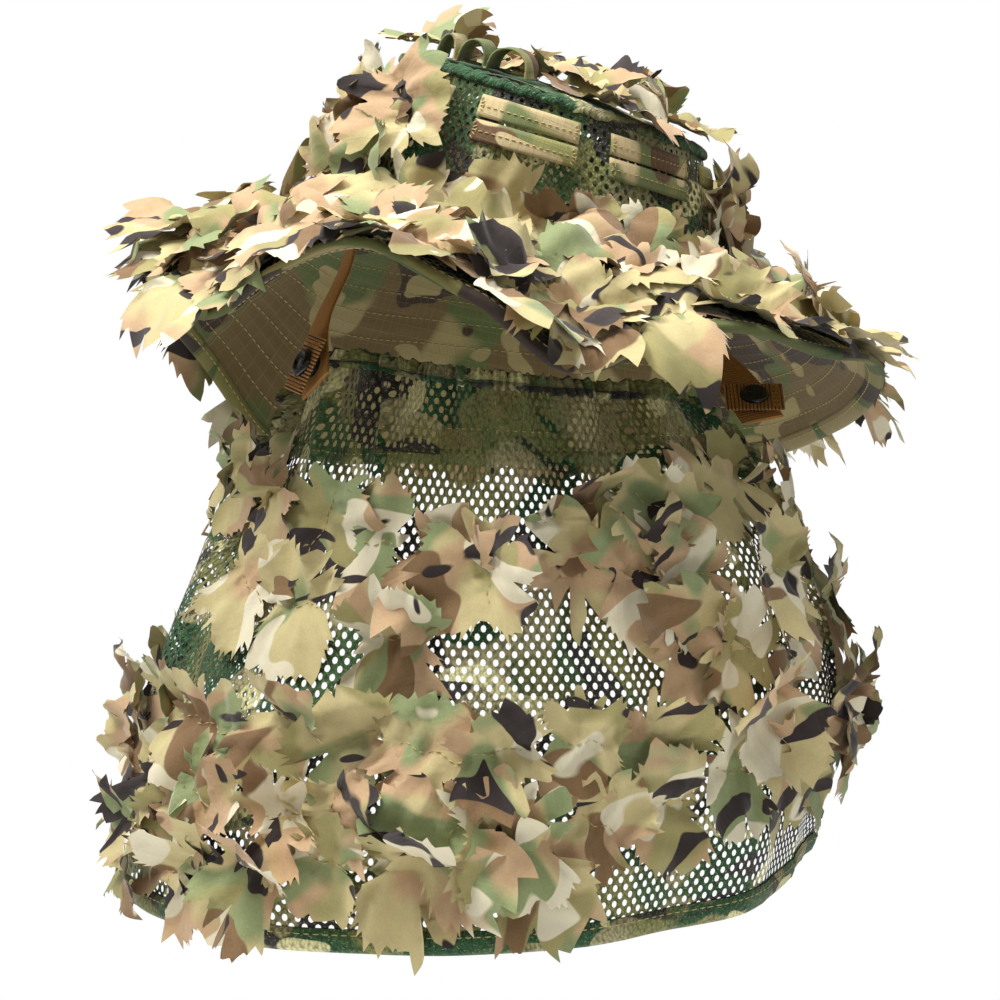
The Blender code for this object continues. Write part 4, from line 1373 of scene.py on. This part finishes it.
def build_stage():
    shader = Shader("backdrop", roughness=1.0, specular=0.0)
    grain = shader.noise(shader.object_place(), 3.0, 2.0)
    shader.colour(shader.mix(grain, (0.98, 0.98, 0.98, 1), (1.0, 1.0, 1.0, 1)))
    bpy.ops.mesh.primitive_plane_add(size=FLOOR_SIZE, location=(0, 0, FLOOR_Z))
    floor = bpy.context.object
    floor.name = "floor"
    floor.data.materials.append(shader.material)
    world = bpy.data.worlds.new("studio")
    bpy.context.scene.world = world
    world.use_nodes = True
    nodes, links = world.node_tree.nodes, world.node_tree.links
    background = nodes["Background"]
    background.inputs["Color"].default_value = (1, 1, 1, 1)
    # The backdrop looks white, and lights the hat less than it would at that brightness
    seen = nodes.new("ShaderNodeLightPath")
    level = nodes.new("ShaderNodeMapRange")
    level.inputs["To Min"].default_value = AMBIENT_LIGHT
    level.inputs["To Max"].default_value = 1.0
    links.new(seen.outputs["Is Camera Ray"], level.inputs["Value"])
    links.new(level.outputs["Result"], background.inputs["Strength"])
    for name, (spot, size, power) in LAMPS.items():
        data = bpy.data.lights.new(name, "AREA")
        data.size = size
        data.energy = power
        lamp = bpy.data.objects.new(name, data)
        lamp.location = spot
        aim = Vector(LIGHT_TARGET) - Vector(spot)
        lamp.rotation_euler = aim.to_track_quat("-Z", "Y").to_euler()
        bpy.context.scene.collection.objects.link(lamp)
    bpy.context.scene.view_settings.view_transform = "Standard"


def build_camera():
    back = Vector((math.sin(CAMERA_AZIMUTH), -math.cos(CAMERA_AZIMUTH), 0))
    right = Vector((math.cos(CAMERA_AZIMUTH), math.sin(CAMERA_AZIMUTH), 0))
    data = bpy.data.cameras.new("camera")
    data.lens = LENS
    data.sensor_width = 36
    camera = bpy.data.objects.new("camera", data)
    camera.location = back * CAMERA_DISTANCE + right * CAMERA_SIDE + Vector((0, 0, CAMERA_HEIGHT))
    camera.rotation_euler = (-back).to_track_quat("-Z", "Y").to_euler()
    bpy.context.scene.collection.objects.link(camera)
    bpy.context.scene.camera = camera


def main():
    mats = {
        "leaf": leaf_material(),
        "veil_knit": knit_material("veil_knit", 0.0),
        "brim_knit": knit_material("brim_knit", 0.03),
        "crown_knit": knit_material("crown_knit", 0.0),
        "casing": knit_material("elastic_casing", 0.02),
        "ripstop": ripstop_material("ripstop_lining", False),
        "ripstop_pale": ripstop_material("ripstop_strip", True),
        "tape": tape_material(),
        "webbing": webbing_material(),
        "thread": plain_material("tan_thread", (176, 158, 104), 0.7, grain=2500, strength=0.3),
        "thread_gold": plain_material("gold_thread", (186, 132, 52), 0.6, grain=2500, strength=0.3),
        "snap_black": plain_material("gloss_black", (10, 10, 11), 0.12, grain=500, strength=0.02),
        "snap_steel": plain_material("blackened_steel", (58, 56, 54), 0.35, metallic=0.9, strength=0.05),
    }
    build_crown(mats)
    build_brim(mats)
    build_foliage_loops(mats)
    build_top_loops(mats)
    build_veil(mats)
    build_hat_leaves(mats)
    build_veil_leaves(mats)
    build_snaps(mats)
    declare_cloths()
    build_stage()
    build_camera()


main()
